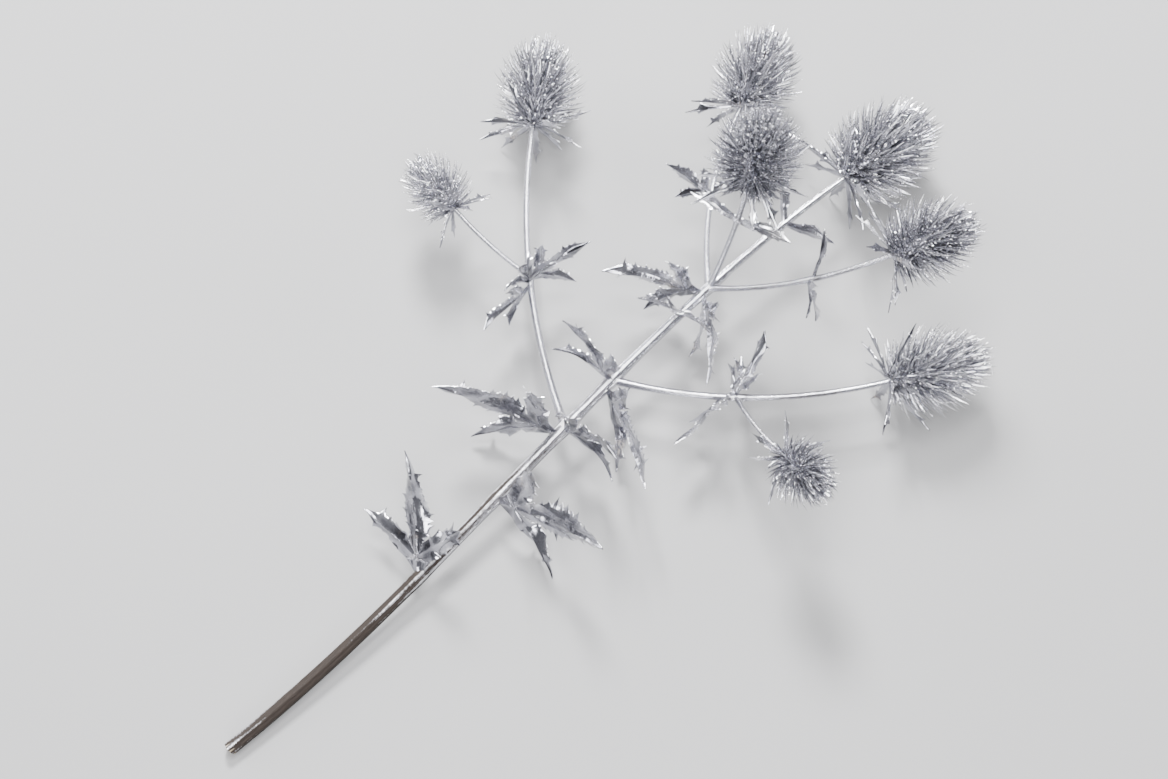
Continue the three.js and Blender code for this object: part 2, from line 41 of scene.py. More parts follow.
DEGREE = pi / 180
GOLDEN_ANGLE = pi * (3 - sqrt(5))
SKY = np.array([0.0, 0.0, 1.0])
OFF_SKY = SKY + 0.01  # no bud points exactly this way

# Camera: it looks down on the stem, which points to the upper right of the picture
CAMERA_AZIMUTH = 46 * DEGREE
CAMERA_ELEVATION = 73 * DEGREE
CAMERA_DISTANCE = 2.2
CAMERA_LENS = 114  # mm
AIM = Vector((0.01, 0.012, 0.03))

# Softboxes: place, aim and size in metres, and power in watts
SOFTBOXES = {
    "key": ((-1.3, 1.0, 1.7), (0, 0, 0), (0.55, 0.55), 190),
    "top": ((-0.4, 0.4, 2.3), (0, 0, 0), (0.9, 0.7), 60),
    "front": ((0.5, -0.45, 2.5), (0, 0, 0), (1.0, 1.0), 64),
    "fill": ((1.2, -1.6, 0.9), (0, 0, 0), (0.9, 0.6), 30),
    "left_wall": ((-1.9, -0.4, 0.75), (0, 0, 0.1), (1.8, 1.0), 50),
    "back_wall": ((0.5, 1.9, 0.75), (0, 0, 0.1), (1.5, 0.9), 30),
}
WORLD_COLOUR = (0.93, 0.93, 1.0, 1.0)
WORLD_STRENGTH = 0.2
FLOOR_SIZE = 40.0

# Colours, or the darkest and the palest of a mixture
SILVER_DARK = (0.106, 0.106, 0.123, 1)
SILVER = (0.413, 0.414, 0.46, 1)
SILVER_BRIGHT = (0.933, 0.932, 0.965, 1)
FLOWER_TAN = ((0.16, 0.11, 0.07, 1), (0.34, 0.27, 0.19, 1))
LEAF_TAN = ((0.17, 0.125, 0.085, 1), (0.42, 0.35, 0.26, 1))
BARK = ((0.008, 0.006, 0.0055, 1), (0.038, 0.029, 0.024, 1))
WOOD = ((0.40, 0.31, 0.20, 1), (0.60, 0.50, 0.36, 1))
PITH = (0.78, 0.72, 0.60, 1)
FLOOR_TINTS = ((0.285, 0.285, 0.29, 1), (0.31, 0.31, 0.315, 1))

# Noises: scale, detail and roughness
NOISES = {
    "spray": (900, 2, 0.5),
    "dust": (3000, 1, 0.55),
    "flower_blotches": (45, 3, 0.55),
    "flower_tan": (400, 3, 0.55),
    "flower_grain": (900, 2, 0.55),
    "leaf_clouds": (70, 1, 0.4),
    "leaf_blotches": (38, 4, 0.6),
    "leaf_specks": (600, 3, 0.6),
    "leaf_tan": (300, 3, 0.55),
    "leaf_creases": (0.3, 1, 0.4),
    "stem_fibres": (1400, 4, 0.6),
    "stem_patches": (45, 4, 0.65),
    "stem_specks": (900, 3, 0.7),
    "floor_tint": (3, 3, 0.55),
    "floor_grain": (900, 3, 0.55),
}
NOISE_MIDDLE = (0.3, 0.7)  # most of a noise lies between these

# Finish of the paint: metal, roughness where it is wettest, and depth of its grain in metres
FLOWER_FINISH = (0.9, 0.16, 0.0002)
LEAF_FINISH = (0.96, 0.155, 0.0005)
STEM_FINISH = (0.9, 0.22, 0.0004)
GRAIN_STRENGTH = 0.8
DUST_BUMP = (0.1, 0.00005)  # strength and depth
MATT_ADDED, BARE_ADDED = 0.03, 0.35  # to the roughness

# Brightness of the paint, 0 for darkest to 1 for palest, partly painted shade and painted
# highlights, and what is added to it, as spans: two values, and what they are turned into
SPRAY_TONES = (0.3, 0.7, -0.06, 0.06)
# Painted shade: spines darker towards their roots, deep in the head
SPINE_ROOT_PAINTED_SHADE = (0.0, 0.8, 0.46, 0.66)
# Painted glint, brighter at the very tips
SPINE_TIP_PAINTED_GLINT = (0.8, 1.0, 0.0, 0.3)
SPINE_TONES = (0.0, 1.0, -0.36, 0.32)
LEAF_EDGE = (0.6, 1.0, 0.76, 1.0)
CLOUD_TONES = (0.3, 0.7, -0.3, 0.2)
# Painted highlight along the veins, and painted shade on the undersides
VEIN_PAINTED_HIGHLIGHT, UNDERSIDE_PAINTED_SHADE = 0.1, -0.36
# Painted shade: darker in the stem's grooves, paler on its ribs
STEM_GROOVE_PAINTED_SHADE = (0.0, 1.0, 0.35, 0.85)
FIBRE_TONES = (0.3, 0.7, -0.12, 0.12)

# Where the paint is gone
FLOWER_BLOTCH = (0.68, 0.74)
FLOWER_BARENESS = (0.1, 0.5, 0.8, 0.0)
LEAF_BLOTCH = (0.58, 0.72)
LEAF_BARENESS = (0.4, 0.6, 0.1, 0.7)
STEM_PATCH = (0.32, 0.68)
SPECK_SHARE = 0.25
STEM_KEEPS = (0.88, 0.12)  # high up on the stem, and low down
RIBS_KEEP = (0.2, 1.0, -0.1, 0.22)
WORN_EDGE = (-0.25, 0.25)

FIBRE_STRETCH = (1.0, 0.12, 1.0)
CREASE_STRETCH = 0.22
VEIN_RELIEF = 0.15
PITH_EDGE = (0.3, 0.45)  # shares of the radius of the cut
BARK_SHINE = 0.15
FLOOR_BUMP = (0.1, 0.0002)
FLOOR_ROUGHNESS = 0.75

# Stem, as in the CAD
CUT_CENTRE = (0.0, 0.0, 4.24)
CUT_RADIUS = 4
TOP_RADIUS = 1.7
TAPER = 2.2
CUT_SLANT = 0.35
RIB = 0.06
LEFT_NODE, RIGHT_NODE, UPPER_NODE = 0.55, 0.63, 0.79
LEAFY_KNOTS = (0.3, 0.43, 0.91)
FORK_SWELLING = (0.9, 0.02)  # height, and reach along the shoot
KNOT_SWELLING = (0.35, 0.015)
SHOOT_SWELLING = (0.45, 0.04)
SHOOT_FOOT_SWELLING = (0.4, 0.08)

# What is finer than in the CAD
CUT_RING_REACH = 10  # only the CAD's first ring lies this near its low end
CUT_FLATNESS = 0.05
RING_STEP = 2.5  # between rings along a shoot
SKELETON_STEP = 4  # and between the places that points are compared with
MAIN_TUBE = (6, 48)  # ribs, and points in a ring
SIDE_TUBE = (4, 32)
STRIA = 0.02  # fine grooves between the ribs, as a share of the radius
STRIAE_PER_RIB = 3
STRIA_TWIST = 5  # radians along a shoot
CUT_RINGS = (0.2, 0.4, 0.7, 0.95)  # as shares of the radius
BARE_FROM, BARE_TO = 10, 330  # between these the paint grows whole

# Edges that turn by more than this many degrees stay sharp
CREASES = {"stem": 50, "bracts": 60, "flowers": 32, "leaves": 60}

# Collar of scale 1, as in the CAD
COLLAR_SINUS = 5
BRACT_COUNT = 10
SMALL_BRACT_COUNT = 8  # under a head smaller than SMALL_SCALE
SMALL_SCALE = 0.9
BRACT_SCATTER = 0.3
PLAN_SEED = 101  # times the seed of the head
QUIRK_SEED = 977  # the same, for what is finer than in the CAD
BRACT_LENGTH = 33
BRACT_WIDTH = 4.6
BRACT_TOOTH = 2.3
BRACT_FOLD = 0.25
SPREAD_BRACT = {"rise": (-28, -6), "reach": (0.9, 1.15), "droop": -2.5}
UPRIGHT_BRACT = {"rise": (22, 38), "reach": (1.15, 1.25), "droop": 1.5}
COLLAR_LIFT = 1.1  # from the end of the shoot
HEAD_LIFT = 1.4

# Outline of a blade, as in the CAD but for the minor teeth and the curves
NOTCHED_SHARE = 0.8
WIDTH_START, WIDTH_SPAN = 0.12, 0.76
WIDTH_BLUNTNESS = 0.6
NARROWEST = 0.35
FIRST_TOOTH = 0.6
TOOTH_FORWARD = 0.95
TOOTH_LIFT = 0.25
MINOR_TOOTH = 0.5  # size of the smaller tooth halfway along each step
MINOR_BACK = 0.02  # which points back by this share of the lobe's length
BELLY = (0.65, 0.2)  # place on the back of a tooth, and bulge there
HOLLOW = (0.6, 0.12)  # the same on its front
SHOULDER = 0.42  # on the point of a lobe
VEIN_REACH = 0.8

# Relief of a blade
COLUMN_BUNCHING = 1.3  # above 1, the columns crowd towards the rib
FOLD_START, WAVE_START, CRUMPLE_START = 2, 3, 4  # they grow over this distance
FOLD_ROUNDING = 0.3
WAVE_TURN = 9  # radians along a lobe
WAVE_SHIFT = 2  # between its two edges
RIB_FADE = 4  # the rib fades over the last quarter
CREASES_APART = 40  # those of one lobe don't run on in the next
LONG_FOLDS = (0.55, 0.7)  # share of the height, and radians a millimetre across
FOLD_WANDER = (1.1, 0.13)
DENTS = (0.45, 0.3, 0.35)
SWEEP = 0.12
PHASES = 6
BRACT_RELIEF = {"twist": 1.7, "wave": 0.7, "crumple": 0.22, "point": 0.35}
LEAF_RELIEF = {"twist": 1.3, "wave": 0.022, "crumple": 0.7, "point": 0.62}
HALF_COLUMNS = 5  # from the rib to the edge
SECTOR_ROWS = 4  # from the hub to the sinuses
RISING_ROWS = 5  # along the back of a tooth
FALLING_ROWS = 3  # from its tip to the notch
TIP_ROWS = 8
EDGE_THICKNESS = 0.35
RIB_THICKNESS = 0.55  # added under the rib
RIB_REACH = 0.8
GROOVE_DEPTH = 0.22
GROOVE_REACH = 0.45

# Leaves, as in the CAD: lengths are shares of the leaf's own, unless marked mm
LEAF_STALK = 0.16
LEAF_SINUS = 0.15
LEAF_SHOULDER = 0.75 * LEAF_SINUS
SHOULDER_SPREAD = 45 * DEGREE
HALF_FOOT = 0.06
WIDEST_HALF_FOOT = 2.5  # mm
LOBE_SPREAD = 56 * DEGREE
LEAF_FOLD = 0.35
MIDDLE_LOBE = (1 - LEAF_STALK, 0.23, 0.045)  # length, width and teeth
SIDE_LOBE = (0.55, 0.15, 0.04)
SINGLE_LOBE = (1 - LEAF_STALK, 0.24, 0.045)
LONG_LEAF = 55  # mm
LONG_LEAF_STEPS, LEAF_STEPS, SMALL_LOBE_STEPS = 5, 3, 2

# What is finer than in the CAD
FIRST_LEAF_SEED = 500
STALK_ROWS = 8
STALK_FLARE = 1.8
STALK_CLASP = 0.5
STALK_EDGE = 0.6

# Flower head of scale 1, as in the CAD
CORE_RADIUS = 8.5
CORE_LENGTH = 38
CORE_ROUNDING = 0.8
SPINE_LENGTH = 20
SPINE_LEAN = (88, 10)
LEAN_CURVE = 1.15
END_REACH = 0.92
MIDDLE_REACH = 0.22

# What is finer than in the CAD
SPINE_JITTER = 5
SPINE_CLEARANCE = 2.2  # from the rib of an upright bract
CLEARANCE_TESTS = 9  # places along a spine
SPINES_PER_POINT = 2.6  # for each core point of the CAD
SPINE_REACH = (0.78, 1.1)
SPINE_WIDTH = 1.9
SPINE_WIDTHS = (0.75, 1.2)
SPINE_TAPER = 1.6
SPINE_FOOT = 0.6  # width there, as a share of that at SPINE_WAIST
SPINE_WAIST = 0.3
SPINE_THICKNESS = 0.35
SPINE_THINNING = 0.7
CHANNEL_FLOOR = 0.2  # as a share of the thickness
SPINE_ROWS = 8
SPINE_FOLD = 0.4
SPINE_TWIST = 0.45
SPINE_BOW = 0.12
SPINE_SWERVE = 0.045
BARB_PLACES = (0.34, 0.52, 0.7)  # side spinelets along a spine
BARB_LENGTH = 2.2
BARB_SPREAD = 38 * DEGREE
BARB_LENGTHS = (0.3, 1.15)
BARB_THICKNESS = 0.3
BARB_ROOT = 0.7  # from the rib of the spine to its edge
BARB_FOOT = 0.55
BARB_LIFT = 0.25
# Added to the height at a barb's tip, which paints a glint there
BARB_TIP_PAINTED_GLINT = 0.3
DULL_BARBS = 0.6  # this share of them is dark, and the rest are painted bright as glints
BUDS_PER_POINT = 5
BUD_SIDES = 5
BUD_WIDTH = 1.5
BUD_LENGTHS = (3.0, 8.0)
BUD_GROWTH = 1.1  # added at the top of a head, as a share
BUD_CAP = 0.9  # from the widest place to the tip
# Heights of the buds feed the painted root shade and the painted tip glint
BUD_HEIGHTS = (0.1, 0.6, 1.0)  # foot, widest place and tip
BUD_LEAN = (88, 5)
BUD_JITTER = 14
MOST_BUD_LEAN = 110
BUD_TURN = 0.25
CORE_MESH = (22, 28)  # rings, and points in a ring
CORE_START = 0.4  # of a step, from the foot to the lowest ring
CORE_TONE = 0.5
CORE_INSET = 0.93
CORE_LUMPS = 0.06

SHOOTS = {
    "main": {"length": 505, "controls": (CUT_CENTRE, (14, 165, 9), (-16, 330, 34), (6, 500, 36))},
}

# Side shoots: parent, place on it, length, headings of the lower and the upper half, radii at
# the foot and at the end, and knots
SIDE_SHOOTS = {
    "left": ("main", LEFT_NODE, 195, (-66, 6), (-38, -0.3), (2.2, 1.6), (0.5,)),
    "right": ("main", RIGHT_NODE, 170, (60, 4), (30, 0.25), (2.2, 1.6), (0.45,)),
    "upper_left": ("main", UPPER_NODE, 118, (-52, 6), (-20, 2), (1.75, 1.5), (0.5,)),
    "upper_right": ("main", UPPER_NODE, 122, (58, 30), (28, 22), (1.75, 1.5), (0.55,)),
    "upright": ("main", UPPER_NODE, 95, (-14, 50), (-22, 72), (1.7, 1.5), (0.6,)),
    "left_small": ("left", 0.5, 60, (-104, 16), (-88, 10), (1.4, 1.25), ()),
    "right_small": ("right", 0.45, 64, (115, 38), (95, 28), (1.4, 1.25), ()),
}

# Heads: scale, slenderness, core points of the CAD, turn round the axis, seed, breadth of the
# spines and a painted highlight added to their brightness
HEADS = {
    "main": (1.15, 1.08, 200, 10, 11, 1.1, 0),
    "left": (1, 1.05, 172, 0, 12, 1, 0),
    "right": (1, 1.22, 182, 0, 13, 1.3, 0.25),
    "upper_left": (1, 1, 172, 40, 14, 1, 0),
    "upper_right": (0.95, 1.1, 166, 70, 15, 1.15, 0),
    "upright": (1.05, 0.95, 172, 25, 16, 1, 0.15),
    "left_small": (0.75, 0.95, 130, 55, 17, 1, 0.15),
    "right_small": (0.75, 1, 130, 15, 18, 1, 0),
}

# Leaves: shoot, place on it, turn round it, rise and twist in degrees, length, droop and lobes.
LEAVES = (
    ("main", 0.3, -50, 38, 30, 80, -8, 3),
    ("main", 0.43, 64, 16, -25, 88, -12, 3),
    ("main", LEFT_NODE - 0.012, -60, -20, 30, 84, -8, 3),
    ("main", LEFT_NODE - 0.004, 42, 12, 0, 66, -16, 3),
    ("main", RIGHT_NODE - 0.012, 68, -20, -25, 78, -8, 3),
    ("main", RIGHT_NODE - 0.004, -40, 8, 15, 60, -12, 3),
    ("main", UPPER_NODE - 0.01, -76, -30, 25, 62, -8, 3),
    ("main", UPPER_NODE - 0.01, 78, -34, -25, 60, -8, 3),
    ("main", UPPER_NODE - 0.045, 4, -10, 20, 54, -6, 3),
    ("main", 0.91, -60, 35, 30, 34, -3, 1),
    ("main", 0.91, 70, 25, -25, 36, -5, 1),
    ("left", 0.49, 70, 25, -25, 44, -6, 3),
    ("left", 0.48, -5, 10, 25, 40, -8, 3),
    ("left", 0.465, -75, -34, 20, 42, -4, 3),
    ("right", 0.44, -70, 28, 25, 44, -5, 3),
    ("right", 0.43, -8, 5, -25, 40, -7, 3),
    ("right", 0.4, 84, -36, -20, 42, -4, 3),
    ("upper_left", 0.5, -70, 25, 30, 34, -5, 3),
    ("upper_left", 0.53, 66, 35, -30, 32, -4, 1),
    ("upper_right", 0.55, 70, 20, -30, 34, -5, 3),
    ("upper_right", 0.58, -58, 35, 30, 32, -4, 1),
    ("upright", 0.6, 95, 5, 20, 34, -5, 1),
    ("upright", 0.6, -85, 15, -20, 32, -6, 1),
)


# ---- Camera and light

def linked_object(name, data):
    made = bpy.data.objects.new(name, data)
    bpy.context.scene.collection.objects.link(made)
    return made


def add_camera():
    camera = linked_object("camera", bpy.data.cameras.new("camera"))
    camera.data.lens = CAMERA_LENS
    flat = cos(CAMERA_ELEVATION)
    back = Vector((
        sin(CAMERA_AZIMUTH) * flat,
        -cos(CAMERA_AZIMUTH) * flat,
        sin(CAMERA_ELEVATION),
    ))
    camera.location = AIM + back * CAMERA_DISTANCE
    camera.rotation_euler = (pi / 2 - CAMERA_ELEVATION, 0.0, CAMERA_AZIMUTH)
    bpy.context.scene.camera = camera


def add_light():
    for name, (place, aim, size, power) in SOFTBOXES.items():
        light = linked_object(name, bpy.data.lights.new(name, "AREA"))
        light.data.shape = "RECTANGLE"
        light.data.size, light.data.size_y = size
        light.data.energy = power
        light.location = place
        light.rotation_euler = (Vector(aim) - Vector(place)).to_track_quat("-Z", "Y").to_euler()
        light.visible_camera = False
    world = bpy.data.worlds.new("studio")
    world.use_nodes = True
    background = world.node_tree.nodes["Background"]
    background.inputs["Color"].default_value = WORLD_COLOUR
    background.inputs["Strength"].default_value = WORLD_STRENGTH
    bpy.context.scene.world = world


# ---- Materials

class Shader:
    """A Principled material and short calls for the nodes that feed it."""

    def __init__(self, name):
        self.material = bpy.data.materials.new(name)
        self.material.use_nodes = True
        self.tree = self.material.node_tree

    def node(self, kind, settings=None, **inputs):
        made = self.tree.nodes.new(kind)
        for key, value in (settings or {}).items():
            setattr(made, key, value)
        self.feed_all(made, inputs)
        return made

    def feed_all(self, node, inputs):
        for key, value in inputs.items():
            self.feed(node.inputs[key.replace("_", " ")], value)

    def feed(self, socket, value):
        if isinstance(value, bpy.types.NodeSocket):
            self.tree.links.new(value, socket)
        else:
            socket.default_value = value

    def finish(self, **inputs):
        self.feed_all(self.tree.nodes["Principled BSDF"], inputs)
        return self.material

    def place(self):
        return self.node("ShaderNodeTexCoord").outputs["Object"]

    def noise(self, name, place=None):
        scale, detail, roughness = NOISES[name]
        made = self.node("ShaderNodeTexNoise", Scale=scale, Detail=detail, Roughness=roughness,
                         Vector=place or self.place())
        return made.outputs["Fac"]

    def value(self, name):
        return self.node("ShaderNodeAttribute", {"attribute_name": name}).outputs["Fac"]

    def span(self, value, low, high, to_low=0.0, to_high=1.0):
        made = self.node("ShaderNodeMapRange", {"clamp": True, "interpolation_type": "SMOOTHSTEP"})
        for socket, number in zip(made.inputs, (value, low, high, to_low, to_high)):
            self.feed(socket, number)
        return made.outputs["Result"]

    def maths(self, operation, first, second):
        made = self.node("ShaderNodeMath", {"operation": operation})
        self.feed(made.inputs[0], first)
        self.feed(made.inputs[1], second)
        return made.outputs[0]

    def mix(self, share, first, second, data_type="RGBA"):
        made = self.node("ShaderNodeMix", {"data_type": data_type}, Factor=share, A=first, B=second)
        return made.outputs["Result"]

    def bump(self, height, strength, distance, **under):
        made = self.node("ShaderNodeBump", Strength=strength, Distance=distance, Height=height,
                         **under)
        return made.outputs["Normal"]


def silver_paint(shader, brightness, bare, bare_colour, grain, metal, gloss, relief):
    """Sprayed silver: the brightness given holds random tone, painted shade in recesses and painted
    highlights, and the paint is gone where it is bare.
    """
    spray = shader.noise("spray")
    level = shader.maths("ADD", brightness, shader.span(spray, *SPRAY_TONES))
    # The darker mix carries painted shade as well as random tone
    dark_tone_and_painted_shade = shader.mix(shader.span(level, 0.0, 0.5), SILVER_DARK, SILVER)
    paint = shader.mix(shader.span(level, 0.5, 1.0), dark_tone_and_painted_shade, SILVER_BRIGHT)
    matt = shader.span(spray, *NOISE_MIDDLE, gloss, gloss + MATT_ADDED)
    dry = shader.span(bare, 0.0, 1.0, 0.0, BARE_ADDED)
    dust = shader.bump(shader.noise("dust"), *DUST_BUMP)
    return shader.finish(
        Base_Color=shader.mix(bare, paint, bare_colour),
        Metallic=shader.span(bare, 0.0, 1.0, metal, 0.0),
        Roughness=shader.maths("ADD", matt, dry),
        Normal=shader.bump(grain, GRAIN_STRENGTH, relief, Normal=dust),
    )


def flower_material():
    shader = Shader("silver_flowers")
    height = shader.value("height")
    # The tone layer holds random tone, painted glints on barbs and a painted highlight on some
    # heads
    tone = shader.span(shader.value("tone"), *SPINE_TONES)
    # Painted shade, darker towards the roots of the spines and buds and on the core
    rising = shader.span(height, *SPINE_ROOT_PAINTED_SHADE)
    # Painted glint at the tips of spines, buds and barbs
    painted_shade_and_glint = shader.maths("ADD", rising, shader.span(height, *SPINE_TIP_PAINTED_GLINT))
    brightness = shader.maths("ADD", painted_shade_and_glint, tone)
    blotch = shader.span(shader.noise("flower_blotches"), *FLOWER_BLOTCH)
    bare = shader.maths("MULTIPLY", blotch, shader.span(height, *FLOWER_BARENESS))
    tan = shader.mix(shader.noise("flower_tan"), *FLOWER_TAN)
    grain = shader.noise("flower_grain")
    return silver_paint(shader, brightness, bare, tan, grain, *FLOWER_FINISH)


def leaf_material():
    shader = Shader("silver_leaves")
    under = shader.value("under")
    veins = shader.value("veins")
    clouds = shader.span(shader.noise("leaf_clouds"), *CLOUD_TONES)
    lit = shader.maths("ADD", shader.span(shader.value("edge"), *LEAF_EDGE), clouds)
    # Painted highlight along the veins
    veined = shader.maths("ADD", lit, shader.maths("MULTIPLY", veins, VEIN_PAINTED_HIGHLIGHT))
    # Painted shade on the undersides of leaves and bracts
    brightness = shader.maths("ADD", veined, shader.maths("MULTIPLY", under, UNDERSIDE_PAINTED_SHADE))
    blotch = shader.span(shader.noise("leaf_blotches"), *LEAF_BLOTCH)
    specks = shader.span(shader.noise("leaf_specks"), *LEAF_BARENESS)
    bare = shader.maths("MULTIPLY", blotch, shader.maths("MULTIPLY", under, specks))
    tan = shader.mix(shader.noise("leaf_tan"), *LEAF_TAN)
    along = shader.maths("MULTIPLY", shader.value("out"), CREASE_STRETCH)
    place = shader.node("ShaderNodeCombineXYZ", X=shader.value("across"), Y=along)
    creases = shader.noise("leaf_creases", place.outputs["Vector"])
    relief = shader.maths("ADD", creases, shader.maths("MULTIPLY", veins, VEIN_RELIEF))
    return silver_paint(shader, brightness, bare, tan, relief, *LEAF_FINISH)


def stem_material():
    shader = Shader("silver_stem")
    thin = shader.value("thin")
    rib = shader.value("rib")
    cut = shader.value("cut")
    stretched = shader.node("ShaderNodeMapping", Vector=shader.place(), Scale=FIBRE_STRETCH)
    place = stretched.outputs["Vector"]
    fibres = shader.noise("stem_fibres", place)
    patches = shader.span(shader.noise("stem_patches", place), *STEM_PATCH)
    specks = shader.span(shader.noise("stem_specks"), *NOISE_MIDDLE)
    wear = shader.mix(SPECK_SHARE, patches, specks, "FLOAT")
    kept = shader.maths("ADD", shader.mix(thin, *STEM_KEEPS, "FLOAT"), shader.span(rib, *RIBS_KEEP))
    worn = shader.span(shader.maths("SUBTRACT", wear, kept), *WORN_EDGE)
    bare = shader.maths("MAXIMUM", worn, cut)
    cut_face = shader.mix(shader.span(rib, *PITH_EDGE), PITH, shader.mix(fibres, *WOOD))
    colour = shader.mix(cut, shader.mix(fibres, *BARK), cut_face)
    # Painted shade: darker in the grooves, paler on the ribs
    painted_groove_shade = shader.span(rib, *STEM_GROOVE_PAINTED_SHADE)
    brightness = shader.maths("ADD", painted_groove_shade, shader.span(fibres, *FIBRE_TONES))
    shader.finish(Specular_IOR_Level=BARK_SHINE)
    return silver_paint(shader, brightness, bare, colour, fibres, *STEM_FINISH)


def floor_material():
    shader = Shader("pale_floor")
    return shader.finish(
        Base_Color=shader.mix(shader.noise("floor_tint"), *FLOOR_TINTS),
        Normal=shader.bump(shader.noise("floor_grain"), *FLOOR_BUMP),
        Roughness=FLOOR_ROUGHNESS,
    )


# ---- Skeleton

MASK = 0xFFFFFFFF  # of 32 bits


def seeded_draw(seed):
    """Draws between 0 and 1 by mulberry32, the same ones that the CAD makes from this seed."""
    state = seed

    def draw():
        nonlocal state
        state = (state + 0x6D2B79F5) & MASK
        mixed = ((state ^ (state >> 15)) * (1 | state)) & MASK
        mixed = ((mixed + (mixed ^ (mixed >> 7)) * (61 | mixed)) & MASK) ^ mixed
        return ((mixed ^ (mixed >> 14)) & MASK) / (MASK + 1)

    return draw


def lerp(low, high, share):
    return low + (high - low) * share


def bell(distance, reach):
    return exp(-((distance / reach) ** 2))


def unit(vector):
    return vector / np.linalg.norm(vector, axis=-1, keepdims=True)


def heading(fan, rise):
    """Fan is the heading from +Y towards +X, and rise the angle above the floor, in degrees."""
    fan, rise = fan * DEGREE, rise * DEGREE
    flat = cos(rise)
    return np.array([sin(fan) * flat, cos(fan) * flat, sin(rise)])


def shoot_frame(name, t):
    """Point, direction, sideways and upward axes of a shoot at place t."""
    layer = [np.array(p, float) for p in SHOOTS[name]["controls"]]
    while len(layer) > 2:
        layer = [lerp(a, b, t) for a, b in zip(layer, layer[1:])]
    along = unit(layer[1] - layer[0])
    side = unit(np.cross(along, SKY))
    return lerp(layer[0], layer[1], t), along, side, np.cross(side, along)


def add_side_shoots():
    """Adds the side shoots to the main one, each from its place on its parent."""
    for name, (parent, at, length, lower, upper, radii, knots) in SIDE_SHOOTS.items():
        origin = shoot_frame(parent, at)[0]
        bend = origin + heading(*lower) * length / 2
        controls = (origin, bend, bend + heading(*upper) * length / 2)
        SHOOTS[name] = {"length": length, "controls": controls, "radii": radii, "knots": knots}


def swelling(t, knots, height_and_reach):
    height, reach = height_and_reach
    return sum(height * bell(t - knot, reach) for knot in knots)


def shoot_radius(name, t):
    shoot = SHOOTS[name]
    if name == "main":
        forks = swelling(t, (LEFT_NODE, RIGHT_NODE, UPPER_NODE), FORK_SWELLING)
        plain = TOP_RADIUS + (CUT_RADIUS - TOP_RADIUS) * (1 - t ** TAPER)
        return plain + forks + swelling(t, LEAFY_KNOTS, KNOT_SWELLING)
    foot = swelling(t, (0,), SHOOT_FOOT_SWELLING)
    return lerp(*shoot["radii"], t) + foot + swelling(t, shoot["knots"], SHOOT_SWELLING)


def frame_offset():
    """Where the stem's own origin lies in the CAD frame, from the points of its cut end."""
    points = np.array([v.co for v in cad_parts["stem"].data.vertices]) / MM
    low = points[:, 1] < points[:, 1].min() + CUT_RING_REACH
    return np.unique(np.round(points[low], 3), axis=0).mean(axis=0) - CUT_CENTRE


# ---- Meshes

def mesh_object(name, points, faces):
    mesh = bpy.data.meshes.new(name)
    mesh.from_pydata(points.tolist(), [], faces)
    return linked_object(name, mesh)


def add_piece(name, node, slot, points, faces, material, layers):
    """Makes a piece that stands for a CAD node. Layers are values at the points, by name."""
    piece = mesh_object(name, (points + OFFSET) * MM, faces)
    mesh = piece.data
    for layer, values in layers.items():
        attribute = mesh.attributes.new(layer, "FLOAT", "POINT")
        attribute.data.foreach_set("value", np.asarray(values, np.float32))
    mesh.polygons.foreach_set("use_smooth", [True] * len(mesh.polygons))
    mesh.set_sharp_from_angle(angle=CREASES[slot] * DEGREE)
    mesh.materials.append(material)
    mesh.validate()
    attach(piece, "root")
    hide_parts(node)


def lathe_faces(rings, sides):
    """Quads between rings of points, and a fan on each end."""
    faces = []
    for ring in range(rings - 1):
        for j in range(sides):
            a = ring * sides + j
            b = ring * sides + (j + 1) % sides
            faces.append((a, b, b + sides, a + sides))
    last = (rings - 1) * sides
    faces.append(tuple(range(sides))[::-1])
    faces.append(tuple(last + j for j in range(sides)))
    return faces


# ---- Stem

def shoot_tube(name):
    """Points and faces of one ribbed and finely grooved tube."""
    main = name == "main"
    ribs, sides = MAIN_TUBE if main else SIDE_TUBE
    rings = round(SHOOTS[name]["length"] / RING_STEP)
    angles = tau * np.arange(sides) / sides
    points = []
    for i in range(rings + 1):
        t = i / rings
        point, along, side, up = shoot_frame(name, t)
        striae = np.cos(STRIAE_PER_RIB * ribs * angles + STRIA_TWIST * t)
        relief = 1 + RIB * np.cos(ribs * angles) + STRIA * striae
        radius = (shoot_radius(name, t) * relief)[:, None]
        ring = point + radius * (up * np.cos(angles)[:, None] + side * np.sin(angles)[:, None])
        if main and i == 0:
            ring = ring - along * CUT_SLANT * radius * np.cos(angles)[:, None]
            points += [lerp(point, ring, share) for share in CUT_RINGS]
        points.append(ring)
    return np.concatenate(points), lathe_faces(len(points), sides)


def united_shoots():
    """The points and faces of all shoots, joined into one skin."""
    stem = mesh_object("stem_core", *shoot_tube("main"))
    others = [mesh_object(f"shoot_{name}", *shoot_tube(name)) for name in SIDE_SHOOTS]
    for other in others:
        join = stem.modifiers.new(other.name, "BOOLEAN")
        join.operation = "UNION"
        join.solver = "MANIFOLD"
        join.object = other
    evaluated = stem.evaluated_get(bpy.context.evaluated_depsgraph_get()).to_mesh()
    points = np.array([v.co for v in evaluated.vertices])
    faces = [tuple(p.vertices) for p in evaluated.polygons]
    for made in (stem, *others):
        bpy.data.objects.remove(made)
    return points, faces


